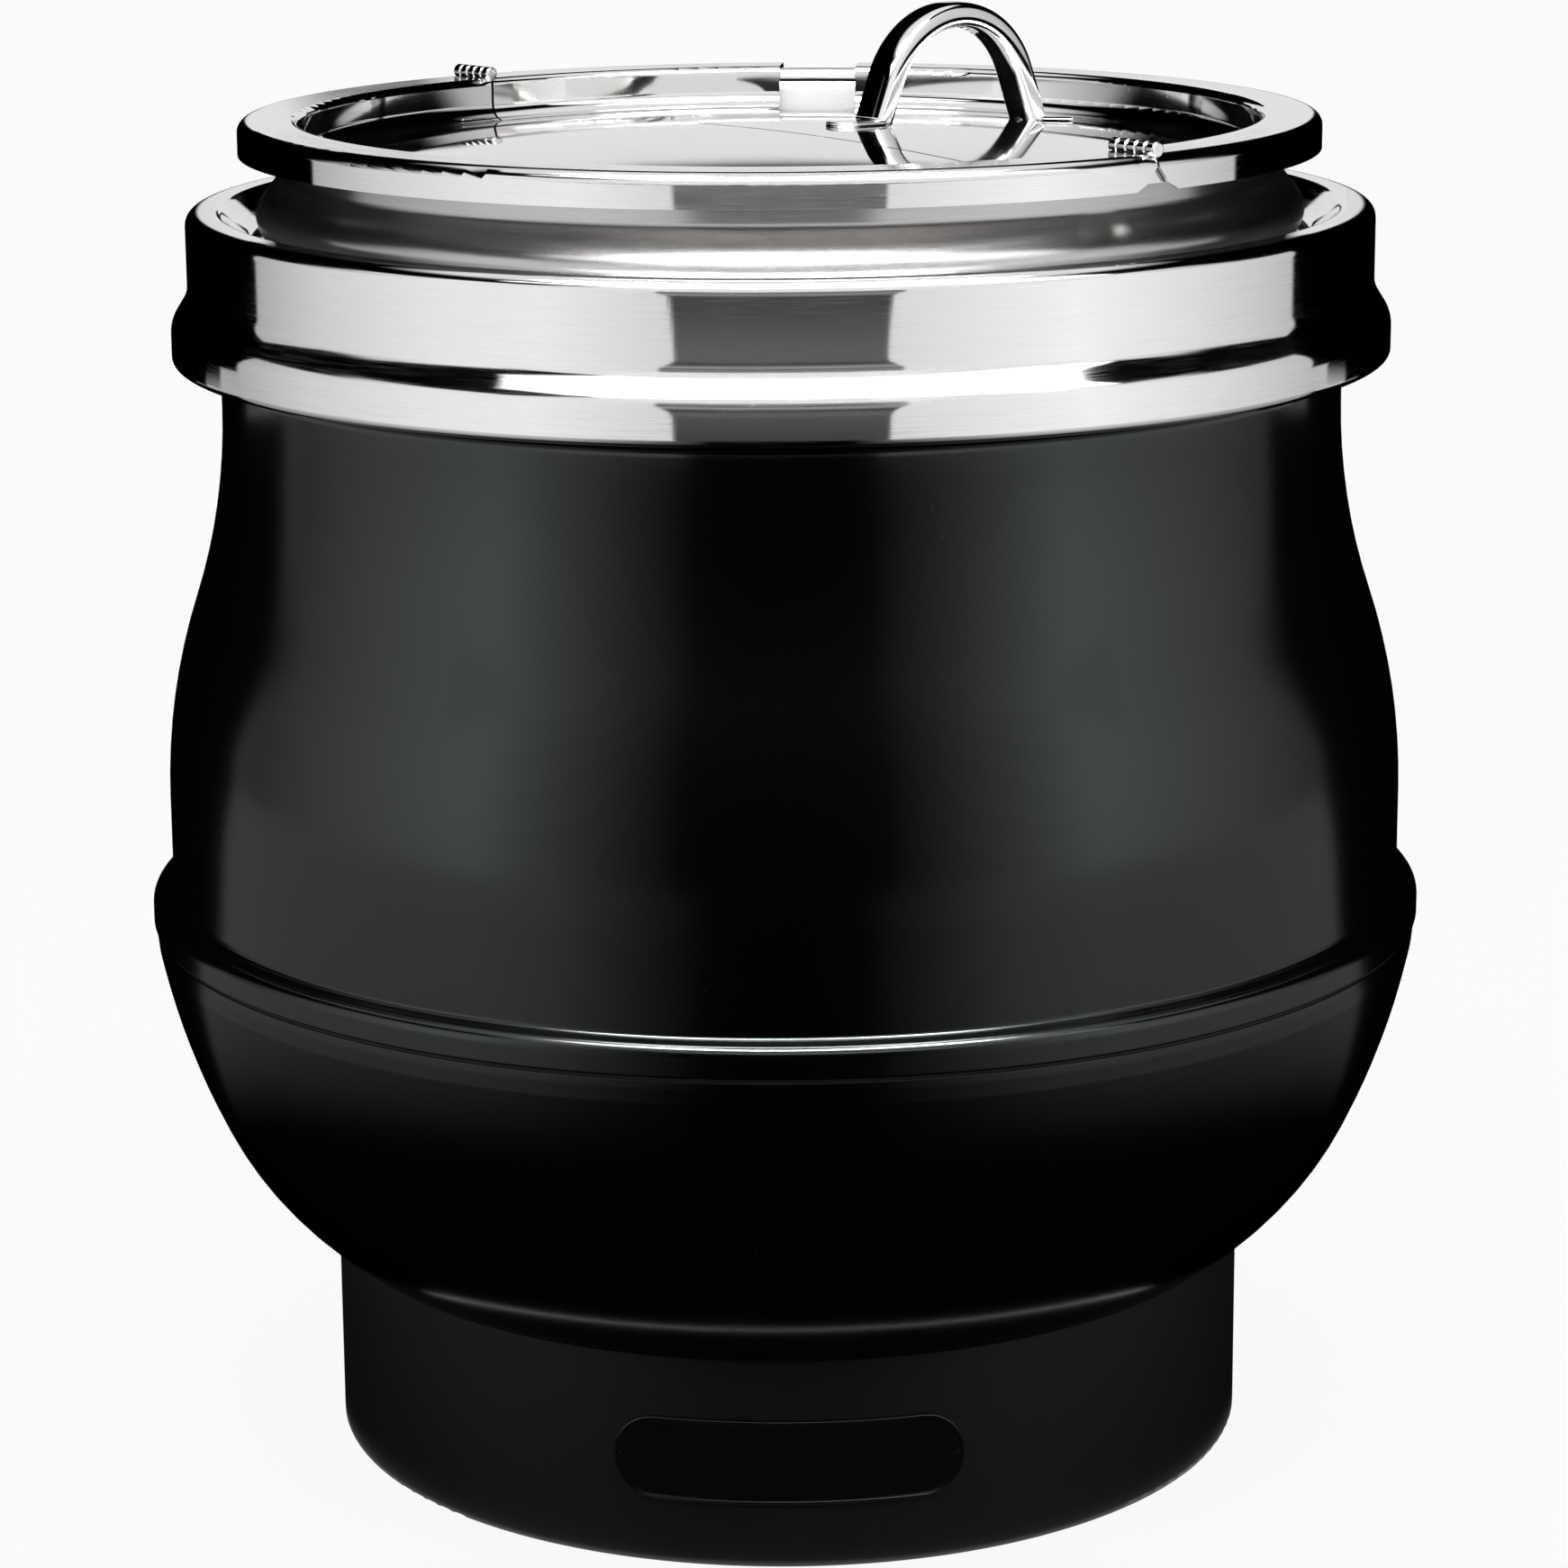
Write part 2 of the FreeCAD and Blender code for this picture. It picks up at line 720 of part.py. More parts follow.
def control_knob():
    """Fluted knob whose hollow skirt covers the nut, with a raised pointer rib across its top."""
    top = knob_low + knob_length
    hollow_r = nut_width / math.sqrt(3) + facing_gap
    body = turned([(0, knob_low + knob_hollow_depth), (hollow_r, knob_low + knob_hollow_depth),
                   (hollow_r, knob_low), (knob_r, knob_low), (knob_r, knob_low + knob_edge_round),
                   (knob_top_r, top, knob_edge_round), (0, top)])
    flute = peg(flute_r, knob_r + flute_r - flute_bite, 0, knob_low + knob_hollow_depth, top)
    bore = peg(shaft_r, 0, 0, knob_low, knob_low + knob_bore_depth)
    pointer = block(-flute_bite / 2, flute_bite / 2, 0, knob_top_r - knob_edge_round,
                    top, top + flute_bite)
    return faced_back(body.cut(around(flute, flute_count, 15) + [bore]).fuse(pointer), 0)


def indicator_lens():
    dome_r = (lens_r * lens_r + lens_dome * lens_dome) / (2 * lens_dome)
    cap = ring(0, lens_r, lens_rim_thick, lens_rim_thick + lens_dome)
    cap = cap.common(Part.makeSphere(dome_r, Vector(0, 0, lens_rim_thick + lens_dome - dome_r)))
    rim = peg(lens_r + lens_rim_width, 0, 0, 0, lens_rim_thick)
    stem = peg(lens_stem_r, 0, 0, -lens_stem_length, 0)
    return faced_back(cap.fuse([rim, stem]), lamp_x)


def indicator_clip():
    clip = ring(lens_stem_r, lens_stem_r + clip_width, -panel_thick - clip_thick, -panel_thick)
    return faced_back(clip, lamp_x)


def cord_gland():
    """Flanged sleeve with a tapered nose; the bore takes the supply cord."""
    nose_end = gland_flange_thick + gland_nose_length
    tail = -panel_thick - gland_nut_thick - gland_tail_length
    sleeve = turned([(0, tail), (gland_r, tail), (gland_r, 0), (gland_flange_width / 2, 0, small_round),
                     (gland_flange_width / 2, gland_flange_thick, small_round), (gland_r, gland_flange_thick),
                     (gland_nose_r, nose_end, small_round), (0, nose_end)])
    return faced_back(sleeve.cut(peg(cord_bore_r, 0, 0, tail, nose_end)), gland_x)


def gland_nut():
    low = -panel_thick - gland_nut_thick
    nut = hexagon(gland_nut_width, 0, 0, low, -panel_thick)
    return faced_back(nut.cut(peg(gland_r, 0, 0, low, -panel_thick)), gland_x)


# Wiring pieces on the base plate and in the bowl's floor

def wire_grommet():
    inner = wire_hole_r - grommet_wall
    flange = wire_hole_r + grommet_flange
    low = floor_z - grommet_flange_thick
    high = floor_top_z + grommet_flange_thick
    return turned([(inner, low), (flange, low, small_round), (flange, floor_z), (wire_hole_r, floor_z),
                   (wire_hole_r, floor_top_z), (flange, floor_top_z), (flange, high, small_round), (inner, high)])


def block_screw_places():
    pitch = block_width / block_ways
    return [block_x + (i - (block_ways - 1) / 2) * pitch for i in range(block_ways)]


def terminal_block():
    top = plate_top_z + block_height
    body = block(block_x - block_width / 2, block_x + block_width / 2, block_y - block_depth / 2,
                 block_y + block_depth / 2, plate_top_z, top)
    holes = [peg(block_screw_r + slip / 2, x, block_y, top - block_screw_depth, top)
             for x in block_screw_places()]
    return body.cut(holes)


def terminal_screws():
    top = plate_top_z + block_height
    return group([peg(block_screw_r, x, block_y, top - block_screw_depth, top - facing_gap)
                  for x in block_screw_places()])


def earth_stud():
    return peg(earth_stud_r, earth_x, earth_y, plate_z, plate_top_z + earth_stud_height)


def earth_nut():
    washer_top = plate_top_z + earth_washer_thick
    washer = peg(earth_stud_r + earth_washer_width, earth_x, earth_y, plate_top_z, washer_top)
    nut = hexagon(earth_nut_width, earth_x, earth_y, washer_top, washer_top + earth_nut_thick)
    return washer.fuse(nut).cut(peg(earth_stud_r, earth_x, earth_y, plate_top_z, washer_top + earth_nut_thick))


# Pot and lid

def soup_pot():
    peak_z = seat_z + pot_bead_height / 2
    bead_r = pot_r + pot_bead_step
    skin = [(0, pot_z), (pot_r, pot_z, pot_corner_round), (pot_r, seat_z, pot_wall),
            (pot_r + pot_foot_width, seat_z, pot_wall), (bead_r, peak_z - pot_bead_rise / 2, pot_bead_round),
            (pot_neck_r, crease_z, pot_neck_round), (pot_neck_r, rim_z - rim_height, pot_neck_round / 2),
            (rim_r, rim_z - rim_height + pot_wall, pot_wall / 2), (rim_r, rim_z)]
    curl = ring(pot_neck_r - pot_wall, rim_r, rim_z - pot_wall, rim_z)
    return pressed(skin, pot_wall).fuse(curl).removeSplitter()


def lid_skin():
    """Top of the lid from its centre: domed floor, recess wall, flat flange and skirt."""
    dome_r = lid_recess_r - lid_dome_margin
    top = lid_floor_z + lid_dome_rise
    chord_angle = math.atan2(lid_dome_rise, dome_r)
    reach = math.hypot(lid_dome_rise, dome_r) / (2 * math.cos(chord_angle))
    run_out = lid_dome_margin * math.tan(2 * chord_angle)
    return [(0, top), (reach, top, reach / math.tan(chord_angle)),
            (lid_recess_r, lid_floor_z - run_out, lid_floor_round), (lid_recess_r, lid_top_z, lid_brow_round),
            (lid_r, lid_top_z, lid_edge_round), (lid_r, skirt_z)]


def whole_lid():
    return pressed(lid_skin(), -lid_wall)


def under_floor(lift):
    """Everything below the lid's domed floor, raised by lift."""
    floor = [(r, z + lift, *more) for r, z, *more in lid_skin()[:2]]
    end_r = lid_recess_r - lid_floor_round
    end = lid_skin()[2]
    centre = lid_skin()[1]
    slope = (end[1] - centre[1]) / (end[0] - centre[0])
    end_z = centre[1] + slope * (end_r - centre[0]) + lift
    low = lid_floor_z - 2 * handle_sink
    return turned(floor + [(end_r, end_z), (end_r, low), (0, low)])


def half_space(side):
    """The half of the lid's space on one side of the split: 1 for the fixed half, -1 for the flap."""
    reach = 2 * lid_r
    low = 0 if side > 0 else -reach
    box = block(-reach, reach, low, low + reach, lid_floor_z - reach, lid_top_z + reach)
    box.translate(Vector(0, side * split_gap / 2, 0))
    return spun(box, split_angle)


def notch():
    """Ladle notch, a slot that runs out through the flange."""
    low = lid_floor_z - lid_recess_depth
    high = lid_top_z + lid_recess_depth
    corner = min(notch_corner_r, 0.49 * notch_width)
    bar = block(notch_start_r, 2 * lid_r, -notch_width / 2, notch_width / 2, low, high)
    inner = [edge for edge in bar.Edges
             if edge.BoundBox.XMax < notch_start_r + 1 and edge.BoundBox.ZLength > 1]
    return spun(bar.makeFillet(corner, inner), notch_angle)


def knuckle_spans():
    """Start and end of every knuckle along one hinge, from the recess outwards."""
    pitch = (lid_r - lid_recess_r + knuckle_gap) / knuckle_count
    starts = [lid_recess_r + i * pitch for i in range(knuckle_count)]
    return [(start, start + pitch - knuckle_gap) for start in starts]


def hinge_bar(radius, start, end):
    return Part.makeCylinder(radius, end - start, Vector(start, 0, hinge_z), Vector(1, 0, 0))


def both_hinges(shapes):
    return [spun(shape, split_angle + turn) for turn in (0, 180) for shape in shapes]


def knuckles(parity, bore_r):
    """Every second knuckle of both hinges, each a short barrel with rounded ends."""
    barrels = []
    for start, end in knuckle_spans()[parity::2]:
        barrel = hinge_bar(knuckle_r, start, end)
        rims = [edge for edge in barrel.Edges if edge.BoundBox.XLength < 0.01]
        barrels.append(barrel.makeFillet(knuckle_round, rims).cut(hinge_bar(bore_r, start, end)))
    return group(both_hinges(barrels))


def hinge_relief(parity):
    """Room for the hinges in the half that carries the knuckles of this parity."""
    bars = []
    for i, (start, end) in enumerate(knuckle_spans()):
        inner = start - 1 if i == 0 else start
        outer = end + 1 if i == knuckle_count - 1 else end
        if i % 2 == parity:
            bars.append(hinge_bar(knuckle_r, inner, outer))
        else:
            bars.append(hinge_bar(knuckle_r + knuckle_clearance, inner - knuckle_gap, outer + knuckle_gap))
    return both_hinges(bars)


def skirt_relief():
    """Cut in the skirt at both ends of the split: a low step with slanted ends and a V above it."""
    low_z = skirt_z - relief_step
    step_z = skirt_z + relief_step
    peak_z = skirt_z + relief_height
    side = [(relief_step_half, step_z), (relief_half_width, skirt_z), (relief_half_width, low_z)]
    corners = [(0, peak_z)] + side + [(-y, z) for y, z in side[::-1]] + [(0, peak_z)]
    inner_x = lid_r - 2 * lid_wall
    face = Part.Face(Part.makePolygon([Vector(inner_x, y, z) for y, z in corners]))
    return both_hinges([face.extrude(Vector(4 * lid_wall, 0, 0))])


def split_tab():
    """Joggled tab of the fixed half that shows behind the relief and stands clear of the flap."""
    low = skirt_z + relief_step
    high = low + tab_rise
    outer_r = lid_r - lid_wall
    inner_r = outer_r - tab_gap - lid_wall
    leaf = ring(inner_r, outer_r - tab_gap, low, high)
    leaf = leaf.common(block(-lid_r, lid_r, -tab_reach, tab_hold, low, high))
    joggle = ring(inner_r, outer_r, low, high)
    joggle = joggle.common(block(-lid_r, lid_r, relief_half_width, tab_hold, low, high))
    return spun(leaf.fuse(joggle), split_angle)


def lid_fixed_half():
    half = whole_lid().common(half_space(1)).cut(hinge_relief(0) + skirt_relief())
    return half.fuse(split_tab()).removeSplitter()


def lid_flap():
    return whole_lid().common(half_space(-1)).cut([notch()] + hinge_relief(1) + skirt_relief())


def hinge_pins():
    spans = knuckle_spans()
    return group(both_hinges([hinge_bar(pin_r, spans[0][0], spans[-1][1])]))


def lid_handle():
    """Arch of rounded bar along a radius. Its legs splay, and flattened feet follow the domed floor."""
    height = lid_floor_z + lid_dome_rise * (1 - (handle_mid_r / lid_recess_r) ** 2)
    centre = Vector(handle_mid_r, 0, height + handle_arch_lift)
    splay = math.radians(handle_splay)
    side = handle_mid_r + handle_arch_r
    corners = [(side + x * handle_half_thick, y * handle_half_width, handle_round)
               for x, y in ((-1, -1), (1, -1), (1, 1), (-1, 1))]
    bar = Part.Face(Part.Wire(rounded(corners)))
    bar.rotate(origin, Vector(1, 0, 0), -90)
    bar.translate(Vector(0, 0, centre.z))
    bar.rotate(centre, Vector(0, -1, 0), handle_splay)
    arch = bar.revolve(centre, Vector(0, -1, 0), 180 - 2 * handle_splay)
    leg = bar.extrude(Vector(math.sin(splay), 0, -math.cos(splay)) * handle_sink)
    far_leg = leg.mirror(centre, Vector(1, 0, 0))
    stance = handle_arch_r / math.cos(splay) + handle_arch_lift * math.tan(splay)
    foot_length = handle_foot_reach + handle_foot_inset + handle_half_width
    feet = []
    for way in (-1, 1):
        foot = slot(foot_length, 2 * handle_half_width + handle_foot_thick, height - handle_sink,
                    height + handle_sink)
        middle = handle_mid_r + way * (stance + handle_foot_reach - foot_length / 2)
        foot.translate(Vector(middle, 0, 0))
        feet.append(foot.common(under_floor(handle_foot_thick)))
    whole = arch.fuse([leg, far_leg] + feet).cut(under_floor(0)).removeSplitter()
    return spun(whole, handle_angle)


# Sizes that two pieces share

clamp_stud_circle_r = element_ring_r - element_tube_r - clamp_nut_width
knob_low = dial_thick + facing_gap

builders = [base_plinth, base_plate, rubber_feet, base_screws, badge_plate, lower_bowl, bowl_bolts,
            bowl_nuts, belly_seal, upper_shell, water_well, collar_seal, collar, collar_nuts, heat_plate,
            heating_element, element_clamps, clamp_nuts, support_posts, post_screws, thermal_cutout,
            energy_regulator, regulator_nut, dial_plate, indicator_lens, indicator_clip, cord_gland,
            gland_nut, wire_grommet, terminal_block, terminal_screws, earth_stud, earth_nut,
            control_knob, knob_shaft, soup_pot, lid_fixed_half, hinge_pins, lid_flap, lid_handle]

nodes = {builder.__name__: builder() for builder in builders}
nodes["hinge_knuckles_fixed"] = knuckles(0, pin_r)
nodes["hinge_knuckles_flap"] = knuckles(1, pin_r + pin_running_gap)

os.makedirs("parts", exist_ok=True)
for name, shape in nodes.items():
    shape.exportStep(os.path.join("parts", name + ".step"))
    print(name, len(shape.Solids), "solids", round(shape.Volume / 1000, 2), "cm3", shape.isValid())
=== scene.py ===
# %% [markdown]
# A soup kettle for a buffet stands on its table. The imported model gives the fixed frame: every
# node, its place and the bodies that move. This lesson dresses that frame. Shells that shine are
# drawn again as fine surfaces, small trim is added, and every piece gets a finish of its own.

# %% The frame and its box
import math
import bpy
import numpy as np
from mathutils import Matrix, Vector


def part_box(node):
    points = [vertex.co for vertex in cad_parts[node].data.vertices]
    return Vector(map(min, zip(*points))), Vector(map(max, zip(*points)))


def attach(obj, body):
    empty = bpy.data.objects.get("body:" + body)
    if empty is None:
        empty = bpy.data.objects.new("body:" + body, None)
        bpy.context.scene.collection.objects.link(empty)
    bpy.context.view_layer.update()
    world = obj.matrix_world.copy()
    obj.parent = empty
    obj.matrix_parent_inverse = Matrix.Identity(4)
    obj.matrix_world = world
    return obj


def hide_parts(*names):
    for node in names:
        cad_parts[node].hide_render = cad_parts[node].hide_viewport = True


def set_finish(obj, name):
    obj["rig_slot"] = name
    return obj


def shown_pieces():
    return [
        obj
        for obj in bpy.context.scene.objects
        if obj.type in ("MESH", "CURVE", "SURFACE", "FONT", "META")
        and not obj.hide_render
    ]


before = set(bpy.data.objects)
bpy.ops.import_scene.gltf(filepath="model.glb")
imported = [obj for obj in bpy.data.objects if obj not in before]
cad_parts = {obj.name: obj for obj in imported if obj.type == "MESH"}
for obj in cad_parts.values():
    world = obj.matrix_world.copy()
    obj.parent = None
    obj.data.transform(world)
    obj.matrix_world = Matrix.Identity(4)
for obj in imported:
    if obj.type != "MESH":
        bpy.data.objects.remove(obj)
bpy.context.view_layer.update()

# %% [markdown]
# A bright shell shows every flat of a coarse mesh, so it is worked out as a grid of points. One
# parameter runs along the outline and the other goes round the axis. A loop over vertices would
# be slow and hard to read, so the whole grid is one array, and its quads come from shifted views
# of the index array. Points that fall together, as at a pole, are merged.

# %% From a grid of points to a mesh
import bmesh

MM = 0.001
MERGE = 1e-7


def made_of(name, mesh):
    """Object of a mesh: points that fall together are merged, and empty faces are gone."""
    work = bmesh.new()
    work.from_mesh(mesh)
    bmesh.ops.remove_doubles(work, verts=work.verts, dist=MERGE)
    bmesh.ops.dissolve_degenerate(work, edges=work.edges, dist=MERGE)
    work.to_mesh(mesh)
    work.free()
    made = bpy.data.objects.new(name, mesh)
    bpy.context.scene.collection.objects.link(made)
    print("made", name, "with", len(mesh.polygons), "faces")
    return made


def piece(name, points, close_rows=False, close_columns=False):
    """Object from a grid (rows, columns, 3) in mm: quad [i, j] joins the points i, i+1 and j, j+1,
    and a closed way joins its last line to its first."""
    rows, columns = points.shape[:2]
    index = np.arange(rows * columns).reshape(rows, columns)
    if close_rows:
        index = np.vstack([index, index[:1]])
    if close_columns:
        index = np.hstack([index, index[:, :1]])
    quads = np.stack([index[:-1, :-1], index[:-1, 1:], index[1:, 1:], index[1:, :-1]], axis=-1)
    mesh = bpy.data.meshes.new(name)
    mesh.from_pydata((points.reshape(-1, 3) * MM).tolist(), [], quads.reshape(-1, 4).tolist())
    made = made_of(name, mesh)
    mesh.shade_smooth()
    return made


def dress(made, body, slot, *nodes):
    """The piece rides on a body, takes its finish from a slot and may stand for CAD nodes."""
    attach(made, body)
    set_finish(made, slot)
    if nodes:
        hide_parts(*nodes)


print("points closer than", MERGE, "m are merged")

# %% [markdown]
# Pressed and spun sheet has no sharp corner: each bend is an arc. An outline is therefore a short
# list of corners, each with its radius, and the arcs are worked out for all corners at once. A
# point close to each arc's end keeps the flat runs flat in the shading, which a mirror needs.

# %% Outlines with rounded corners
ARC_POINTS = 9
RUN_POINTS = 4
RUN_SUPPORT = 0.6
RUN_SHARE = 0.2
STRAIGHT_HALF = 0.4999 * np.pi


def unit(ways):
    """Each way divided by its own length."""
    return ways / np.linalg.norm(ways, axis=-1, keepdims=True)


def rounded(corners, closed=True, run_points=RUN_POINTS, arc_points=ARC_POINTS):
    """Points through (across, up, round) corners. An arc of that radius touches both runs of its
    corner; its points are centre + radius * (cos, sin) over the turn between the two touches."""
    corners = np.array([(*corner, 0.0)[:3] for corner in corners], float)
    points = corners[:, :2]
    back = np.roll(points, 1, axis=0) - points
    ahead = np.roll(points, -1, axis=0) - points
    if not closed:
        back[0] = -ahead[0]
        ahead[-1] = -back[-1]
    way_back = unit(back)
    way_ahead = unit(ahead)
    half = np.arccos(np.clip(np.sum(way_back * way_ahead, axis=1), -1, 1)) / 2
    straight = half > STRAIGHT_HALF
    radius = np.where(straight, 0.0, corners[:, 2])[:, None]
    middle = np.where(straight[:, None], 0.0, way_back + way_ahead)
    middle = middle / np.maximum(np.linalg.norm(middle, axis=1, keepdims=True), MERGE)
    centre = points + middle * radius / np.sin(half)[:, None]
    reach = radius / np.tan(half)[:, None]
    spoke = points + way_back * reach - centre
    side = np.sign(way_back[:, 1] * way_ahead[:, 0] - way_back[:, 0] * way_ahead[:, 1])
    swing = (side * (np.pi - 2 * half))[:, None] * np.linspace(0, 1, arc_points)
    cos, sin = np.cos(swing), np.sin(swing)
    arc = np.stack([spoke[:, :1] * cos - spoke[:, 1:] * sin,
                    spoke[:, :1] * sin + spoke[:, 1:] * cos], axis=-1) + centre[:, None]
    start = arc[:, -1]
    run = np.roll(arc[:, 0], -1, axis=0) - start
    length = np.maximum(np.linalg.norm(run, axis=1, keepdims=True), MERGE)
    near = np.minimum(RUN_SUPPORT / length, RUN_SHARE)
    share = near + (1 - 2 * near) * np.linspace(0, 1, run_points)
    runs = start[:, None] + share[..., None] * run[:, None]
    line = np.concatenate([arc, runs], axis=1).reshape(-1, 2)
    return line if closed else line[:-run_points]


print("a corner takes", ARC_POINTS + RUN_POINTS, "points")

# %% [markdown]
# Sheet has a wall. The second skin is the first one moved sideways by the wall, with each bend's
# arc kept about the same centre, as a press leaves it. A Solidify modifier would do that too, but
# its rim is square, and the true sheet's cut edge is a little round.

# %% A wall beside a skin, and turning it round the axis
TURN_STEPS = 200
EDGE_SHARE = 0.42


def with_wall(skin, wall, edge_round=True):
    """Closed outline of a sheet: the skin's corners, then those moved by wall to their left, back
    to the start. A corner moves along its bisector, and its round grows or shrinks by the wall."""
    corners = np.array([(*corner, 0.0)[:3] for corner in skin], float)
    way = unit(np.diff(corners[:, :2], axis=0))
    before = np.vstack([way[:1], way])
    after = np.vstack([way, way[-1:]])
    left = (before + after)[:, ::-1] * (-1, 1)
    share = 1 + np.sum(before * after, axis=1, keepdims=True)
    turn = before[:, 0] * after[:, 1] - before[:, 1] * after[:, 0]
    moved = corners.copy()
    moved[:, :2] += left * wall / share
    moved[:, 2] = np.maximum(corners[:, 2] - np.sign(turn) * wall, 0) * (corners[:, 2] > 0)
    edge = EDGE_SHARE * abs(wall)
    corners[-1, 2] = moved[-1, 2] = edge
    if edge_round:
        corners[0, 2] = moved[0, 2] = edge
    return np.vstack([corners, moved[::-1]])


def round_axis(outline, steps):
    """Each outline point (r, z) goes round the upright axis to (r cos a, r sin a, z)."""
    angle = np.linspace(0, 2 * np.pi, steps, endpoint=False)
    r, z = outline[:, :1], outline[:, 1:]
    return np.stack([r * np.cos(angle), r * np.sin(angle), z + 0 * angle], axis=-1)


def turned(name, outline):
    """Piece whose closed outline goes all the way round the axis."""
    return piece(name, round_axis(outline, TURN_STEPS), close_rows=True, close_columns=True)


def extent(node):
    """Largest radius, lowest and highest level of a turned node, in mm."""
    low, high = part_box(node)
    return high[0] / MM, low[2] / MM, high[2] / MM


def two_arcs(start, start_angle, end, end_angle):
    """Corners of two arcs that leave start and reach end at the given angles and touch between.
    All four tangents have one length, which is the root of a quadratic in the chord."""
    angles = np.radians([start_angle, end_angle])
    first, last = np.stack([np.cos(angles), np.sin(angles)], axis=-1)
    chord = np.subtract(end, start)
    both = first + last
    square = both @ both - 4
    slope = -2 * chord @ both
    reach = -chord @ chord / slope
    if abs(square) > MERGE:
        reach = (-slope - math.sqrt(slope * slope - 4 * square * (chord @ chord))) / (2 * square)
    ends = np.array([start + first * reach, end - last * reach])
    across = unit(ends[1] - ends[0])
    turns = np.arccos(np.clip([across @ first, across @ last], -1, 1))
    return [(*point, reach / math.tan(turn / 2)) for point, turn in zip(ends, turns)]


print("a turned sheet has", TURN_STEPS, "steps round the axis")

# %% [markdown]
# The body is two black shells of pressed sheet. The upper one rises from a double bead at the
# belly, leans in over the shoulder and stands upright under the collar. The two shoulder bends are
# one pair of touching arcs, so the long grey reflections run over it without a break.

# %% Upper shell
shell_wall = 1.5
belly_step = 5.7
belly_band = 7.8
belly_slope = 1.1
belly_round = 3.2
belly_crease_round = 1.2
shoulder_start = 35.0
shoulder_step = 17.8
neck_straight = 10.5
neck_round = 2.0
neck_ledge = 6.9
upright_angle = 90.0

belly_r, shell_z, neck_z = extent("upper_shell")
shell_r = belly_r - belly_step
neck_r = shell_r - shoulder_step
skin = [(belly_r, shell_z), (belly_r, shell_z + belly_band, belly_round),
        (shell_r, shell_z + belly_band + belly_slope, belly_crease_round)]
shoulder = (shell_r, shell_z + shoulder_start)
neck = (neck_r, neck_z - neck_straight)
skin += two_arcs(shoulder, upright_angle, neck, upright_angle)
skin += [(neck_r, neck_z, neck_round), (neck_r - neck_ledge, neck_z)]
upper_shell = turned("upper_shell_sheet", rounded(with_wall(skin, shell_wall)))
dress(upper_shell, "kettle", "black_enamel", "upper_shell")

# %% [markdown]
# The lower bowl is the same sheet. Its lip stands out under the belly seam, and it draws in to the
# plinth in two touching arcs, so the underside never goes flat. The seam's edge is cut sharper
# than the others, because a round one would catch the light in a line.

# %% Lower bowl
lip_step = 1.2
lip_height = 8.0
lip_slope = 4.0
lip_round = 6.0
foot_angle = 34.0
top_angle = 79.0
bowl_overhang = 0.5
seam_edge = 0.2
grommet_flange = 3.0

lip_r, floor_z, seam_z = extent("lower_bowl")
plinth_r = extent("base_plinth")[0]
wire_hole_r = extent("wire_grommet")[0] - grommet_flange
bowl_r = lip_r - lip_step
lip_z = seam_z - lip_height
lean = lip_slope / math.tan(math.radians(top_angle))
foot = (plinth_r + bowl_overhang, floor_z)
skin = [(wire_hole_r, floor_z), foot] + two_arcs(foot, foot_angle, (bowl_r, lip_z), top_angle)
skin += [(bowl_r + lean, lip_z + lip_slope / 2, lip_round),
         (lip_r, lip_z + 1.5 * lip_slope, lip_round), (lip_r, seam_z)]
outline = with_wall(skin, shell_wall)
outline[len(skin) - 1, 2] = seam_edge
lower_bowl = turned("lower_bowl_sheet", rounded(outline))
dress(lower_bowl, "kettle", "black_enamel", "lower_bowl")

# %% [markdown]
# The pot lifts out of the collar. It is spun from satin steel: a deep vessel, a rounded bead that
# stands in the collar's seat, a short neck and a curled rim under the lid. The curl turns down
# again inside the neck, so the sheet looks folded back on itself.

# %% Pot
pot_wall = 1.0
pot_r = 132.0
pot_corner_round = 26.0
pot_foot_width = 6.5
pot_bead_step = 10.8
pot_bead_rise = 5.0
pot_bead_height = 17.0
pot_bead_round = 7.0
pot_neck_step = 2.5
pot_neck_round = 3.5
rim_width = 5.0
rim_height = 4.0
hem_depth = 2.9
seat_drop = 7.5

collar_top_z = extent("collar")[2]
pot_z, rim_z = extent("soup_pot")[1:]
seat_z = collar_top_z - seat_drop
crease_z = seat_z + pot_bead_height
pot_neck_r = pot_r + pot_neck_step
rim_r = pot_neck_r + rim_width
bead_low_z = seat_z + (pot_bead_height - pot_bead_rise) / 2
skin = [(0, pot_z), (pot_r, pot_z, pot_corner_round), (pot_r, seat_z, pot_wall),
        (pot_r + pot_foot_width, seat_z, pot_wall),
        (pot_r + pot_bead_step, bead_low_z, pot_bead_round),
        (pot_neck_r, crease_z, pot_neck_round),
        (pot_neck_r, rim_z - rim_height, pot_neck_round / 2),
        (rim_r, rim_z - rim_height + pot_wall, pot_wall / 2), (rim_r, rim_z, pot_wall / 2),
        (pot_neck_r - pot_wall, rim_z, pot_wall), (pot_neck_r - pot_wall, rim_z - hem_depth)]
pot = turned("soup_pot_vessel", rounded(with_wall(skin, pot_wall, edge_round=False)))
dress(pot, "pot", "satin_steel", "soup_pot")

# %% [markdown]
# The collar is the brightest piece: polished steel with a bead near its foot and a dished seat for
# the pot. Six studs under it pass down through the shell. They are short turned pegs with a small
# chamfer, made once and set round in one array.

# %% Collar and its studs
collar_wall = 1.5
bead_step = 4.7
bead_low_round = 1.8
bead_rise = 10.5
bead_slope = 7.5
bead_round = 9.0
collar_edge_round = 3.5
collar_top_width = 9.0
collar_lip_round = 3.0
seat_gap = 1.5
seat_width = 9.5
seat_lip = 7.0
collar_height = 40.0
stud_count = 6
stud_r = 1.5
stud_chamfer = 0.4
stud_edge = 2.0
stud_first = 30.0
stud_steps = 24

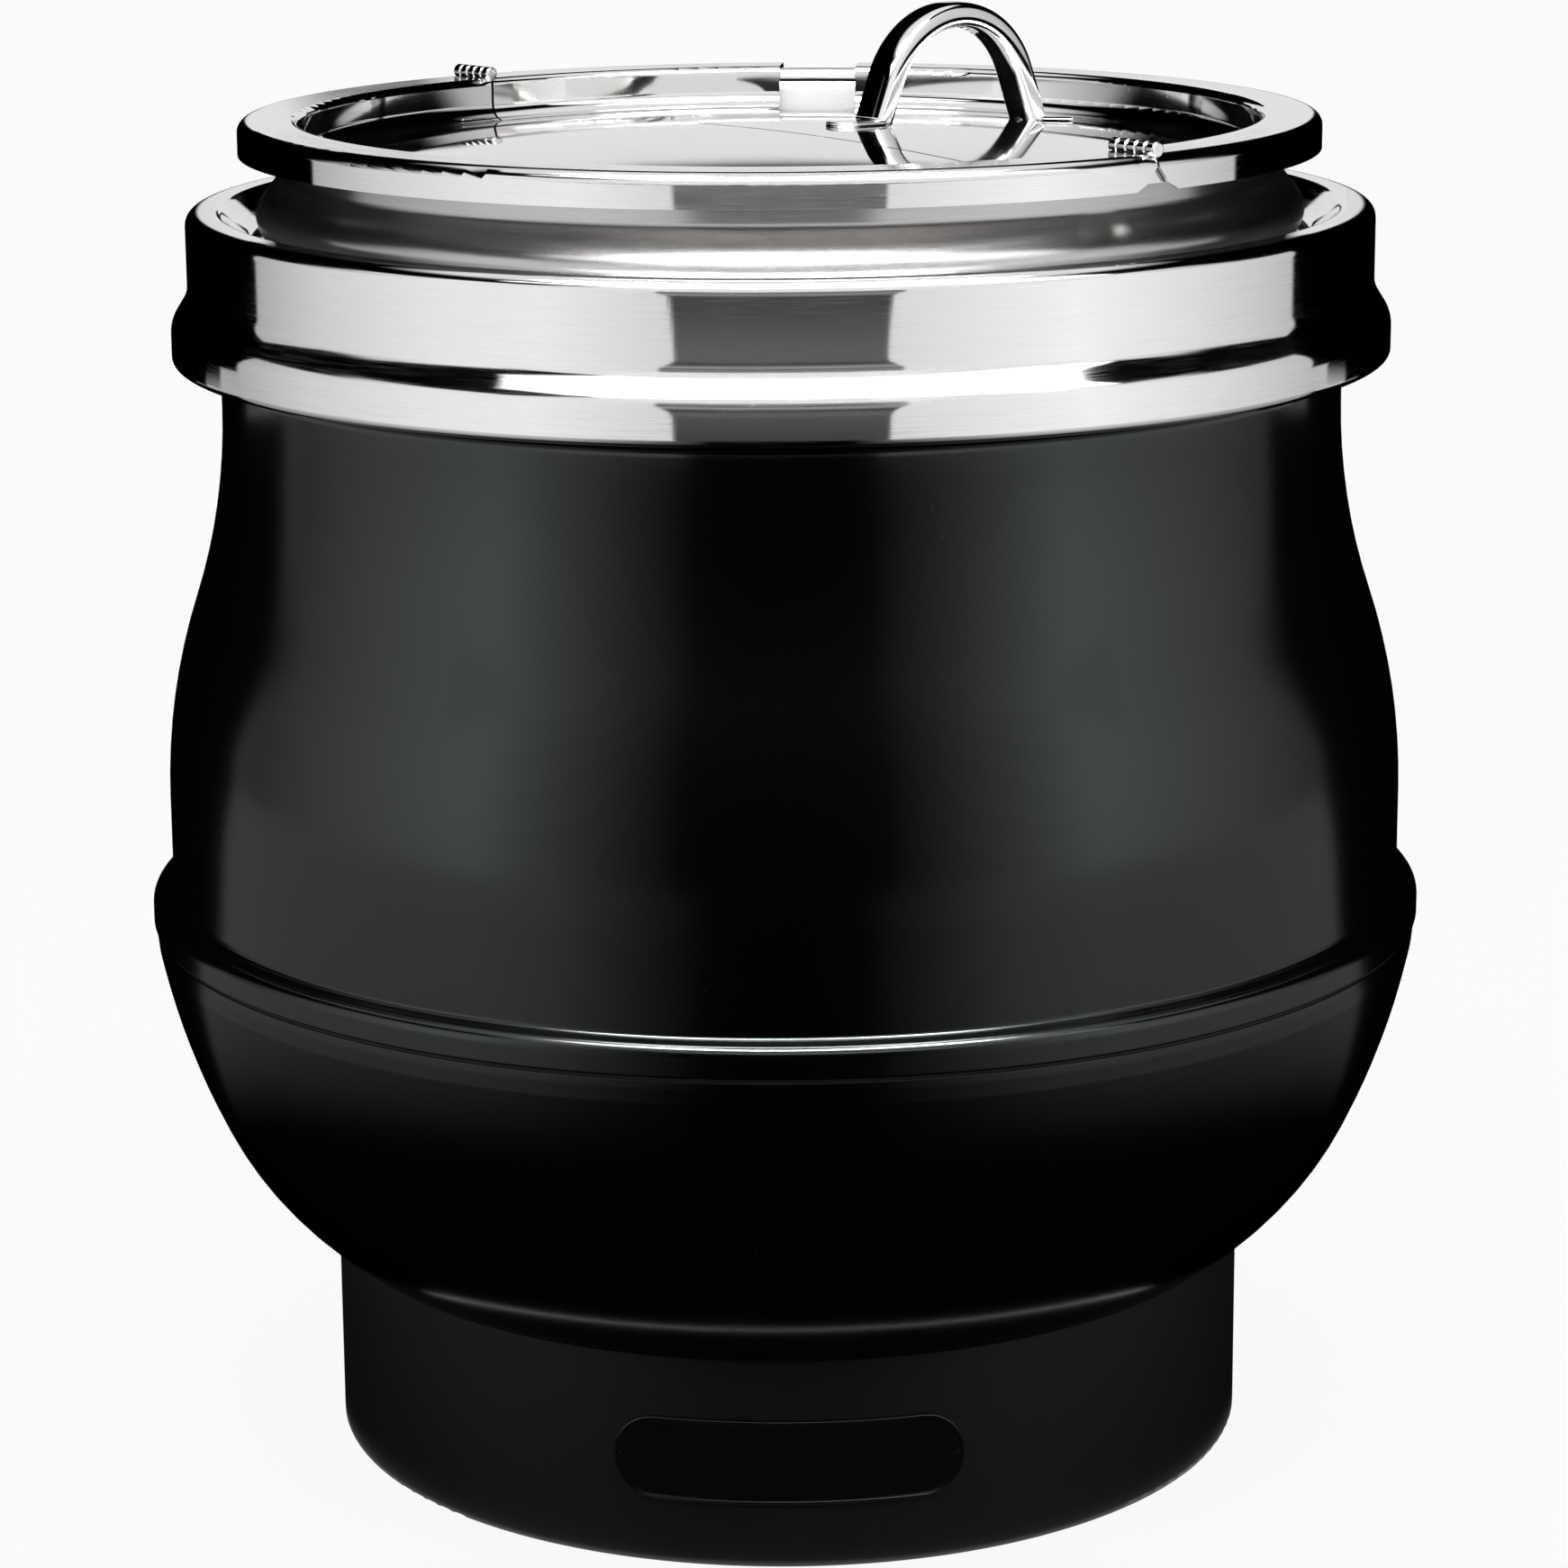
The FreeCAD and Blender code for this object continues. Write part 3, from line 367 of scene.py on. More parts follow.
bead_r, stud_z = extent("collar")[:2]
collar_z = collar_top_z - collar_height
collar_r = bead_r - bead_step
ledge_r = neck_r - neck_ledge
bore_r = pot_r + seat_gap
skin = [(ledge_r, collar_z), (bead_r, collar_z, bead_low_round),
        (bead_r, collar_z + bead_rise, bead_round),
        (collar_r, collar_z + bead_rise + bead_slope, bead_round),
        (collar_r, collar_top_z, collar_edge_round),
        (collar_r - collar_top_width, collar_top_z, collar_lip_round),
        (bore_r + seat_width, seat_z, collar_lip_round), (bore_r, seat_z, collar_wall),
        (bore_r, seat_z - seat_lip)]
collar = turned("collar_ring", rounded(with_wall(skin, collar_wall)))
dress(collar, "kettle", "mirror_steel", "collar")


def set_round(name, outline, count, circle_r, first):
    """Copies of one small turned outline, evenly round a circle about the kettle's axis."""
    place = np.radians(first) + np.arange(count) * 2 * np.pi / count
    centre = np.stack([np.cos(place), np.sin(place), 0 * place], axis=-1) * circle_r
    one = round_axis(outline, stud_steps)
    return [piece(f"{name}_{i + 1}", one + centre[i], True, True) for i in range(count)]


outline = rounded([(0, stud_z), (stud_r, stud_z, stud_chamfer), (stud_r, collar_z), (0, collar_z)])
for stud in set_round("collar_stud", outline, stud_count, ledge_r + stud_edge, stud_first):
    dress(stud, "kettle", "mirror_steel")

# %% [markdown]
# Small flat plates come next: the feet of the handle, the badge, the marks of the dial. Each has a
# rounded outline and a soft edge. Rings of the outline are drawn in step by step while their height
# follows the edge, and a placing function lays the finished plate on a dome, a drum or a panel. A
# bevelled box could not follow the dome.

# %% Plates with a soft edge
EDGE_STEPS = 6
PLATE_POINTS = 12


def soft_edge(top, edge):
    """Inset and height of each ring: up the side, then a quarter circle of radius edge."""
    turn = np.linspace(0, np.pi / 2, EDGE_STEPS)
    inset = np.concatenate([[edge, 0], edge * (1 - np.cos(turn))])
    height = np.concatenate([[0, 0], top - edge * (1 - np.sin(turn))])
    return inset, height


def plate(name, half_length, half_width, corner, rings, place, run_points=PLATE_POINTS):
    """Rings of a rounded rectangle, each drawn in by its inset and lifted to its height; the first
    and the last are folded onto the middle line, and place(u, v, height) sets all points."""
    inset, height = rings
    lines = []
    for gap in inset:
        a, b, r = half_length - gap, half_width - gap, max(corner - gap, 0)
        corners = [(-a, -b, r), (a, -b, r), (a, b, r), (-a, b, r)]
        lines.append(rounded(corners, run_points=run_points))
    lines = np.array([lines[0] * (1, 0)] + lines + [lines[-1] * (1, 0)])
    height = np.concatenate([height[:1], height, height[-1:]])[:, None]
    u, v = lines[..., 0], lines[..., 1]
    return piece(name, place(u, v, height + 0 * u), close_columns=True)


print("a soft edge has", EDGE_STEPS + 2, "rings")

# %% [markdown]
# The hoop handle on the flap is one bent bar with flat faces and rounded edges: an arc with two
# straight legs that splay. A profile is carried along it: its two half axes are fixed, and the
# powers of sine and cosine square it off. The legs end at different levels of the lid's dome, which
# moves the arc a little, so the path is set to the crown's level at the end.

# %% Handle
handle_angle = math.radians(40.0)
handle_mid_r = 62.5
handle_arch_r = 25.5
handle_splay = math.radians(21.5)
handle_half_width = 5.2
handle_half_thick = 3.5
handle_squareness = 4.0
foot_thick = 1.2
section_points = 48
arch_points = 56
least_step = 1e-4

recess_r = 129.2
dome_rise = 6.0
dome_margin = 9.0
recess_depth = 11.3
lid_wall = 1.2
lid_top_z = rim_z + lid_wall
dome_z = lid_top_z - recess_depth + dome_rise


def dome_level(r):
    """Level of the lid's floor: its top less a share that grows with the square of the radius."""
    return dome_z - dome_rise * (np.asarray(r) / (recess_r - dome_margin)) ** 2


def squared(wave, squareness):
    """Sine or cosine raised to 2 / squareness with its sign kept, which turns a circle squarer."""
    return np.sign(wave) * np.abs(wave) ** (2 / squareness)


radial = np.array([math.cos(handle_angle), math.sin(handle_angle), 0])
across = np.array([-math.sin(handle_angle), math.cos(handle_angle), 0])
upward = np.array([0, 0, 1.0])
crown_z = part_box("lid_handle")[1][2] / MM - handle_half_thick
arch_z = crown_z - handle_arch_r
apex_z = arch_z + handle_arch_r / math.sin(handle_splay)
stance = (apex_z - dome_level(handle_mid_r)) * math.tan(handle_splay)
legs = handle_mid_r + stance * np.array([-1, 1])
base_z = dome_level(legs) + foot_thick / 2
path = rounded([(legs[0], base_z[0]), (handle_mid_r, apex_z, handle_arch_r), (legs[1], base_z[1])],
               closed=False, arc_points=arch_points)
path = path[np.concatenate([[True], np.linalg.norm(np.diff(path, axis=0), axis=1) > least_step])]
path[:, 1] += crown_z - path[:, 1].max()
tangent = unit(np.gradient(path, axis=0))
normal = np.stack([-tangent[:, 1], tangent[:, 0]], axis=-1)
angle = np.linspace(0, 2 * np.pi, section_points, endpoint=False)
inward = handle_half_thick * squared(np.cos(angle), handle_squareness)
aside = handle_half_width * squared(np.sin(angle), handle_squareness)
size = np.ones(len(path) + 2)
size[[0, -1]] = 0
path = np.vstack([path[:1], path, path[-1:]])
normal = np.vstack([normal[:1], normal, normal[-1:]])
along = path[:, None] + (normal * size[:, None])[:, None] * inward[None, :, None]
aside = size[:, None] * aside
points = along[..., :1] * radial + aside[..., None] * across + along[..., 1:] * upward
handle = piece("handle_hoop", points, close_columns=True)
dress(handle, "lid_flap", "mirror_steel", "lid_handle")

# %% [markdown]
# The feet of the handle are thin tongues that lie on the lid's dome, so they are plates that follow
# its level. Each reaches from a little inside its leg to well outside it.

# %% Feet of the handle
foot_reach = 15.5
foot_inset = 4.0
foot_half_width = 5.6
foot_corner = 5.5
foot_edge = 0.5

foot_half_length = (foot_reach + foot_inset) / 2
for number, way in enumerate((-1, 1)):
    middle = legs[number] + way * (foot_half_length - foot_inset)

    def on_dome(u, v, height):
        """Plate on the dome: u along the handle's radius, v across it, height above the floor."""
        r = middle + u
        level = dome_level(np.hypot(r, v)) + height
        return r[..., None] * radial + v[..., None] * across + level[..., None] * upward

    foot = plate(f"handle_foot_{number + 1}", foot_half_length, foot_half_width, foot_corner,
                 soft_edge(foot_thick, foot_edge), on_dome)
    dress(foot, "lid_flap", "mirror_steel")

# %% [markdown]
# The badge on the plinth is a blank plate of gloss black, bent to the drum, with a fine raised rim.
# It is the same kind of plate with a taller edge ring.

# %% Badge
badge_half_length = 46.5
badge_half_width = 11.6
badge_corner = 11.0
badge_points = 40
badge_inset = np.array([1.0, 0.0, 0.0, 0.15, 0.4, 0.65, 0.9, 1.15, 1.6])
badge_height = np.array([0.0, 0.0, 0.75, 1.05, 1.2, 1.2, 1.05, 0.85, 0.8])
badge_low, badge_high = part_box("badge_plate")
badge_z = (badge_low[2] + badge_high[2]) / 2 / MM


def on_plinth(u, v, height):
    """Plate on the plinth's drum: u is the way round it, v the way up."""
    turn = u / plinth_r
    r = plinth_r + height
    return np.stack([r * np.sin(turn), -r * np.cos(turn), badge_z + v], axis=-1)


badge = plate("badge_blank", badge_half_length, badge_half_width, badge_corner,
              (badge_inset, badge_height), on_plinth, run_points=badge_points)
dress(badge, "kettle", "badge_gloss", "badge_plate")

# %% [markdown]
# The regulator's dial at the rear has a scale: a short bar and a plain number at every sixth of the
# knob's turn, and the knob's rib carries a pale inlay. Bars and inlay are plates. The numbers are
# text made into a mesh, because no short formula gives a number its shape.

# %% Dial scale and pointer
scale_count = 7
scale_turn = math.radians(270.0)
mark_height = 0.12
mark_edge = 0.04
tick_half_length = 0.45
tick_half_width = 0.2
tick_r = 15.35
figure_r = 16.95
figure_size = 2.2
inlay_half_length = 5.2
inlay_half_width = 0.3
inlay_r = 5.6
mark_points = 3

dial_low, dial_high = (np.array(corner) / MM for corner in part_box("dial_plate"))
knob_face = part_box("control_knob")[1][1] / MM
dial_face = dial_high[1]
dial_x, _, dial_z = (dial_low + dial_high) / 2


def bar(name, half_length, half_width, r, turn, face):
    """Thin bar along a ray of the dial. Turn 0 points down, and it grows the way the knob turns."""
    out = np.array([-math.sin(turn), -math.cos(turn)])
    side = np.array([-math.cos(turn), math.sin(turn)])

    def on_panel(u, v, height):
        """Plate on the rear panel: u along the ray, v across it."""
        flat = (r + u)[..., None] * out + v[..., None] * side
        return np.stack([dial_x + flat[..., 0], face + height, dial_z + flat[..., 1]], axis=-1)

    rings = soft_edge(mark_height, mark_edge)
    return plate(name, half_length, half_width, half_width / 2, rings, on_panel, run_points=mark_points)


def figure(name, words, r, turn, face):
    """Upright text on the dial, read from behind: its x runs to -X and its y to +Z."""
    curve = bpy.data.curves.new(name, "FONT")
    curve.body = words
    curve.size = figure_size
    curve.align_x = "CENTER"
    curve.align_y = "CENTER"
    curve.extrude = mark_height / 2
    text = bpy.data.objects.new(name, curve)
    mesh = bpy.data.meshes.new_from_object(text)
    bpy.data.objects.remove(text)
    flat = np.zeros(3 * len(mesh.vertices))
    mesh.vertices.foreach_get("co", flat)
    x, y, z = flat.reshape(-1, 3).T
    placed = np.stack([dial_x - r * math.sin(turn) - x, face + mark_height / 2 + z,
                       dial_z - r * math.cos(turn) + y], axis=-1)
    mesh.vertices.foreach_set("co", (placed * MM).ravel())
    mesh.materials.clear()
    return made_of(name, mesh)


for number, turn in enumerate(np.linspace(0, scale_turn, scale_count)):
    tick = bar(f"dial_tick_{number}", tick_half_length, tick_half_width, tick_r, turn, dial_face)
    dress(tick, "kettle", "knob_black")
    label = figure(f"dial_figure_{number}", str(number), figure_r, turn, dial_face)
    dress(label, "kettle", "knob_black")
inlay = bar("knob_inlay", inlay_half_length, inlay_half_width, inlay_r, 0, knob_face - mark_edge)
dress(inlay, "knob", "dial_aluminium")
print("dial has", scale_count, "marks")

# %% [markdown]
# Finishes are small node graphs. Written node by node they are long and dull to read, so one class
# wraps a socket: sums and products of such wires add Math nodes, and one method adds any other
# node from its type, its settings and its inputs.

# %% A wire that does sums
class Wire:
    """An output socket of a node graph, with the operators that the finishes use."""

    def __init__(self, socket):
        """Keeps the socket that the wire starts from."""
        self.socket = socket

    def add(self, kind, settings=None, inputs=None, output=0):
        """New node of that type: settings first, then a value or a wire for each named input."""
        tree = self.socket.id_data
        node = tree.nodes.new(kind)
        for name, value in (settings or {}).items():
            setattr(node, name, value)
        for name, value in (inputs or {}).items():
            plug(node.inputs[name], value)
        return Wire(node.outputs[output])

    def math(self, operation, *values):
        """One Math node on these values or wires."""
        return self.add("ShaderNodeMath", {"operation": operation}, dict(enumerate(values)))

    def __add__(self, other):
        """Sum of this value and another."""
        return self.math("ADD", self, other)

    __radd__ = __add__

    def __sub__(self, other):
        """Difference of this value and another."""
        return self.math("SUBTRACT", self, other)

    def __mul__(self, other):
        """Product of this value and another."""
        return self.math("MULTIPLY", self, other)

    __rmul__ = __mul__

    def __truediv__(self, other):
        """Quotient of this value and another."""
        return self.math("DIVIDE", self, other)

    def __pow__(self, other):
        """Power of this value and another."""
        return self.math("POWER", self, other)

    def over(self, low, high):
        """0 below low, 1 above high and an eased step between."""
        settings = {"interpolation_type": "SMOOTHSTEP"}
        inputs = {"Value": self, "From Min": low, "From Max": high}
        return self.add("ShaderNodeMapRange", settings, inputs)

    def axis(self, letter):
        """One part, X, Y or Z, of a vector."""
        return self.add("ShaderNodeSeparateXYZ", None, {0: self}, letter)

    def noise(self, scale, detail=3.0, roughness=0.55):
        """Cloudy value round 0.5 on this vector."""
        inputs = {"Vector": self, "Scale": scale, "Detail": detail, "Roughness": roughness}
        return self.add("ShaderNodeTexNoise", None, inputs)

    def cells(self, scale):
        """Distance to the nearest of scattered points on this vector."""
        return self.add("ShaderNodeTexVoronoi", None, {"Vector": self, "Scale": scale})

    def blend(self, low, high):
        """Colour between low at 0 and high at 1."""
        settings = {"data_type": "RGBA"}
        return self.add("ShaderNodeMix", settings, {"Factor": self, 6: low, 7: high}, 2)

    def bump(self, strength, depth):
        """Normal of a surface that this value raises by up to depth metres."""
        inputs = {"Height": self, "Strength": strength, "Distance": depth}
        return self.add("ShaderNodeBump", None, inputs)


def plug(socket, value):
    """A wire is linked, and a number or colour is set on the socket itself."""
    if isinstance(value, Wire):
        socket.id_data.links.new(value.socket, socket)
    else:
        socket.default_value = value


print("wire operators ready")

# %% [markdown]
# Every finish starts alike: a Principled surface and the Object coordinates, in metres, that its
# pattern is laid out on. Constants such as the coat's roughness are set on the shader's own socket,
# and only what varies over the surface is linked.

# %% Starting a finish, and marks that run round the axis
AXIS_GUARD = 1e-8
MARK_LEAN = 0.77
finishes = {}


def finish(name, **constants):
    """New material under its slot's name, with its shader node and a wire of Object coordinates."""
    material = bpy.data.materials.new(name + "_finish")
    material.use_nodes = True
    shader = material.node_tree.nodes["Principled BSDF"]
    for socket, value in constants.items():
        shader.inputs[socket.replace("_", " ")].default_value = value
    place = Wire(material.node_tree.nodes.new("ShaderNodeTexCoord").outputs["Object"])
    finishes[name] = material
    return shader, place


def lay(shader, **wires):
    """Links wires to the shader's sockets of these names."""
    for socket, wire in wires.items():
        plug(shader.inputs[socket.replace("_", " ")], wire)


def grey(value, warmth=0.0):
    """A nearly neutral colour: red is raised and blue lowered by the warmth's share."""
    return (value * (1 + warmth), value, value * (1 - warmth), 1.0)


def from_axis(place):
    """Distance from the upright axis: the root of x squared plus y squared, kept just above 0."""
    x, y = place.axis("X"), place.axis("Y")
    return (x * x + y * y + AXIS_GUARD) ** 0.5


def turning_marks(place, slow, quick):
    """Coordinates for marks left by turning: the direction from the axis passes slowly, and the
    way across the marks, level less a share of the radius, passes quickly."""
    x, y, z = place.axis("X"), place.axis("Y"), place.axis("Z")
    radius = from_axis(place)
    inputs = {"X": x / radius * slow, "Y": y / radius * slow, "Z": (z - radius * MARK_LEAN) * quick}
    return place.add("ShaderNodeCombineXYZ", None, inputs)


print("finishes start from Object coordinates")

# %% [markdown]
# The body's black is a baked enamel with a satin gloss: a smooth coat that spreads reflections
# wide, with a very fine orange peel and a trace of dust. A single roughness would look like
# plastic film, so two scales of noise move it a little, and a small bump gives the peel.

# %% Black enamel and the plinth's moulded black
shader, place = finish("black_enamel", IOR=1.58, Specular_Tint=(0.93, 1, 1, 1))
cloud = place.noise(14.0, 2.0)
peel = place.noise(620.0, 2.0)
dust = place.cells(260.0).over(0.10, 0.045) * place.noise(40.0).over(0.5, 0.68)
lay(shader, Base_Color=(dust * 0.5).blend((0.0008, 0.001, 0.001, 1), (0.02, 0.022, 0.022, 1)),
    Roughness=0.13 + cloud * 0.04 + dust * 0.1, Normal=peel.bump(0.03, 0.0004))

shader, place = finish("black_phenolic", IOR=1.5)
cloud = place.noise(18.0, 2.0)
grain = place.noise(1500.0, 2.0)
lay(shader, Base_Color=cloud.blend((0.0017, 0.002, 0.002, 1), (0.0026, 0.003, 0.003, 1)),
    Roughness=0.44 + cloud * 0.08 + grain * 0.08, Normal=grain.bump(0.18, 0.0002))

shader, place = finish("badge_gloss", IOR=1.5)
cloud = place.noise(60.0, 2.0)
lay(shader, Base_Color=cloud.blend((0.003, 0.0032, 0.0034, 1), (0.0045, 0.005, 0.005, 1)),
    Roughness=0.1 + cloud * 0.06, Normal=place.noise(300.0, 1.0).bump(0.03, 0.0003))
print("blacks:", list(finishes))

# %% [markdown]
# Polished steel is never a perfect mirror. The buffing wheel leaves hair lines that run round the
# piece. They hardly show where a white panel is reflected and show as grey streaks where the
# reflection is dark, because a rough line gathers light from above and below. So the lines raise
# the roughness and hardly the colour, the roughness is stretched across the lines, and a slow cloud
# stands for hand marks. The lid's floor has hardly any lines, and the pot's inside is duller than its
# outside: both follow from the distance to the axis, in metres. The pot's outside is also painted
# much darker than its inside, a painted shade that dims its reflections.
# The handle and hinges are buffed by hand, so they have no turning lines.

# %% Mirror steel and satin steel
ACROSS_LINES = 0.25
LID_FLOOR_END = (0.131, 0.135)
POT_INSIDE = (0.1343, 0.1337)

shader, place = finish("mirror_steel", Metallic=1.0, Anisotropic=0.95,
                       Anisotropic_Rotation=ACROSS_LINES)
lines = turning_marks(place, 8.0, 5000.0).noise(1.0, 2.0, 0.7)
hair = lines.over(0.42, 0.7) * from_axis(place).over(*LID_FLOOR_END)
smear = place.noise(22.0, 3.0).over(0.45, 0.75)
lay(shader, Base_Color=hair.blend(grey(0.80, 0.008), grey(0.76, 0.008)),
    Roughness=0.04 + hair * 0.09 + smear * 0.02, Normal=lines.bump(0.002, 0.0002))

shader, place = finish("hand_polish", Metallic=1.0)
smear = place.noise(60.0, 3.0).over(0.4, 0.75)
lay(shader, Base_Color=smear.blend(grey(0.87, 0.008), grey(0.82, 0.008)),
    Roughness=0.04 + smear * 0.05, Normal=place.noise(140.0, 2.0).bump(0.02, 0.0003))

shader, place = finish("satin_steel", Metallic=1.0, Anisotropic=0.5,
                       Anisotropic_Rotation=ACROSS_LINES)
lines = turning_marks(place, 5.0, 1500.0).noise(1.0, 4.0, 0.7)
smear = place.noise(16.0, 3.0)
# Painted shade: the pot's outside is painted much darker than its inside to dim its reflections, and
# the inside is also rougher.
inside_duller_painted_paler = from_axis(place).over(*POT_INSIDE)
lay(shader, Base_Color=(lines * 0.4 + inside_duller_painted_paler * 0.6).blend(grey(0.42, 0.01), grey(0.72, 0.01)),
    Roughness=0.17 + lines * 0.08 + smear * 0.05 + inside_duller_painted_paler * 0.2, Normal=lines.bump(0.03, 0.0002))
print("steels:", list(finishes)[-3:])

# %% [markdown]
# The small metals: zinc on the fasteners is dull and mottled, cast aluminium is grainy, the
# element's sheath has gone dark with heat, brass is warm, and the dial is brushed one way under a
# lacquer, which makes it less of a mirror.

# %% Small metals
BRUSHED = (40.0, 40.0, 2600.0)

shader, place = finish("zinc_steel", Metallic=1.0)
mottle = place.noise(240.0, 3.0)
spangle = place.cells(420.0)
lay(shader, Base_Color=mottle.blend((0.42, 0.43, 0.44, 1), (0.66, 0.67, 0.68, 1)),
    Roughness=0.3 + mottle * 0.15 + spangle * 0.1, Normal=spangle.bump(0.05, 0.0002))

shader, place = finish("heat_aluminium", Metallic=1.0)
grain = place.noise(900.0, 3.0)
lay(shader, Base_Color=grain.blend((0.42, 0.42, 0.43, 1), (0.6, 0.6, 0.61, 1)),
    Roughness=0.45 + grain * 0.2, Normal=grain.bump(0.25, 0.0002))

shader, place = finish("element_sheath", Metallic=0.8)
stain = place.noise(60.0, 4.0)
lay(shader, Base_Color=stain.blend((0.045, 0.043, 0.04, 1), (0.13, 0.115, 0.1, 1)),
    Roughness=0.4 + stain * 0.25, Normal=place.noise(1200.0, 2.0).bump(0.12, 0.0002))

shader, place = finish("terminal_brass", Metallic=1.0)
tarnish = place.noise(150.0, 4.0)
lay(shader, Base_Color=tarnish.blend((0.48, 0.34, 0.12, 1), (0.74, 0.56, 0.24, 1)),
    Roughness=0.25 + tarnish * 0.2, Normal=tarnish.bump(0.05, 0.0002))

shader, place = finish("dial_aluminium", Metallic=0.4)
brushed = place.add("ShaderNodeMapping", None, {"Vector": place, "Scale": BRUSHED})
streak = brushed.noise(1.0, 4.0)
lay(shader, Base_Color=streak.blend((0.5, 0.5, 0.51, 1), (0.72, 0.72, 0.73, 1)),
    Roughness=0.26 + streak * 0.14, Normal=streak.bump(0.08, 0.0002))
print("small metals:", list(finishes)[-5:])

# %% [markdown]
# Rubber, silicone and moulded plastics are dielectrics. Each has its own grain: talc on rubber, a
# soft bloom on silicone, a moulded texture on knob and case. The lamp's lens is clear amber.

# %% Rubbers, plastics and the lamp's lens
shader, place = finish("black_rubber", IOR=1.5)
talc = place.noise(180.0, 4.0)
lay(shader, Base_Color=talc.blend((0.01, 0.01, 0.0105, 1), (0.028, 0.028, 0.029, 1)),
    Roughness=0.7 + talc * 0.2, Normal=place.noise(1400.0, 2.0).bump(0.2, 0.0003))

shader, place = finish("grey_silicone", IOR=1.41)
bloom = place.noise(120.0, 3.0)
lay(shader, Base_Color=bloom.blend((0.004, 0.0042, 0.0045, 1), (0.009, 0.0092, 0.0095, 1)),
    Roughness=0.5 + bloom * 0.2, Normal=bloom.bump(0.06, 0.0003))

shader, place = finish("regulator_case", IOR=1.5)
flow = place.noise(70.0, 4.0)
lay(shader, Base_Color=flow.blend((0.28, 0.25, 0.2, 1), (0.36, 0.33, 0.27, 1)),
    Roughness=0.45 + flow * 0.15, Normal=place.noise(1100.0, 2.0).bump(0.12, 0.0002))

shader, place = finish("knob_black", IOR=1.5)
leather = place.cells(1700.0)
cloud = place.noise(90.0, 2.0)
lay(shader, Base_Color=cloud.blend((0.009, 0.009, 0.0095, 1), (0.015, 0.015, 0.016, 1)),
    Roughness=0.38 + leather * 0.12, Normal=leather.bump(0.15, 0.0002))

shader, place = finish("lamp_amber", IOR=1.49, Transmission_Weight=0.55)
swirl = place.noise(240.0, 3.0)
lay(shader, Base_Color=swirl.blend((0.85, 0.28, 0.02, 1), (0.95, 0.42, 0.05, 1)),
    Roughness=0.08 + swirl * 0.08, Normal=swirl.bump(0.05, 0.0003))
print("dielectrics:", list(finishes)[-5:])

# %% [markdown]
# The record names a slot for every node, and the new pieces carry theirs, so one loop dresses all
# of them. A slot without a finish would stop here. The few pieces that are polished by hand are
# named, since they share their slot with the turned ones.

# %% Giving every piece its finish
BY_HAND = {"handle_hoop", "handle_foot_1", "handle_foot_2", "lid_handle", "hinge_knuckles_fixed",
           "hinge_knuckles_flap", "hinge_pins"}

for name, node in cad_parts.items():
    slot = "hand_polish" if name in BY_HAND else node.data.materials[0].name
    node.material_slots[0].material = finishes[slot]
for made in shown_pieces():
    if "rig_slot" in made:
        slot = "hand_polish" if made.name in BY_HAND else made["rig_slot"]
        made.data.materials.clear()
        made.data.materials.append(finishes[slot])

# %% [markdown]
# The studio is a pale floor under a white surround. The floor is white paper that is lit well
# enough to burn out nearly to white, so a share of it glows for the camera, and the rest takes the
# kettle's shadow. A lamp that bright would wash out the kettle too.

# %% Floor and surround
FLOOR_HALF = 6000.0
FLOOR_GLOW = 0.92
SURROUND = 0.55


def seen_directly(wire):
    """1 for rays that come from the camera, a mirror or glass, and 0 for soft bounces."""
    rays = wire.add("ShaderNodeLightPath", None, None, "Is Camera Ray")
    node = rays.socket.node
    return rays.math("MINIMUM", rays + Wire(node.outputs["Is Glossy Ray"])
                     + Wire(node.outputs["Is Transmission Ray"]), 1.0)


corner = np.array([-FLOOR_HALF, FLOOR_HALF])
floor = piece("floor", np.stack([*np.meshgrid(corner, corner), np.zeros((2, 2))], axis=-1))
paper = bpy.data.materials.new("pale_paper")
paper.use_nodes = True
shader = paper.node_tree.nodes["Principled BSDF"]
place = Wire(paper.node_tree.nodes.new("ShaderNodeTexCoord").outputs["Object"])
fibre = place.noise(90.0, 4.0)
lay(shader, Base_Color=fibre.blend(grey(0.8), grey(0.82)), Roughness=0.9)
glow = place.add("ShaderNodeEmission", None, {"Color": (1, 1, 1, 1), "Strength": 1.0})
mixed = place.add("ShaderNodeMixShader", None,
                  {0: seen_directly(place) * FLOOR_GLOW, 1: Wire(shader.outputs[0]), 2: glow})
plug(paper.node_tree.nodes["Material Output"].inputs["Surface"], mixed)
floor.data.materials.append(paper)

world = bpy.data.worlds.new("white_surround")
bpy.context.scene.world = world
world.use_nodes = True
surround = world.node_tree.nodes["Background"]
surround.inputs["Color"].default_value = (1, 1, 1, 1)
seen = seen_directly(Wire(surround.outputs[0]))
plug(surround.inputs["Strength"], SURROUND + (1 - SURROUND) * seen)
print("floor and surround ready")

# %% [markdown]
# Two wide soft boxes at the sides and one overhead light the dull pieces and draw the shadow on the
# floor. Mirrors don't see them: what mirrors see is set by the tent that follows.

# %% Soft boxes
BOX_BESIDE = 0.8


def soft_box(name, place, facing, width, height, radiance):
    """Rectangular lamp, in metres, that faces a point: its power is radiance * pi * area."""
    lamp = bpy.data.lights.new(name, "AREA")
    lamp.shape = "RECTANGLE"
    lamp.size = width
    lamp.size_y = height
    lamp.energy = radiance * math.pi * width * height
    made = bpy.data.objects.new(name, lamp)
    bpy.context.scene.collection.objects.link(made)
    look = (Vector(facing) - Vector(place)).to_track_quat("-Z", "Y")
    made.matrix_world = Matrix.Translation(place) @ look.to_matrix().to_4x4()
    made.visible_camera = False
    made.visible_glossy = False


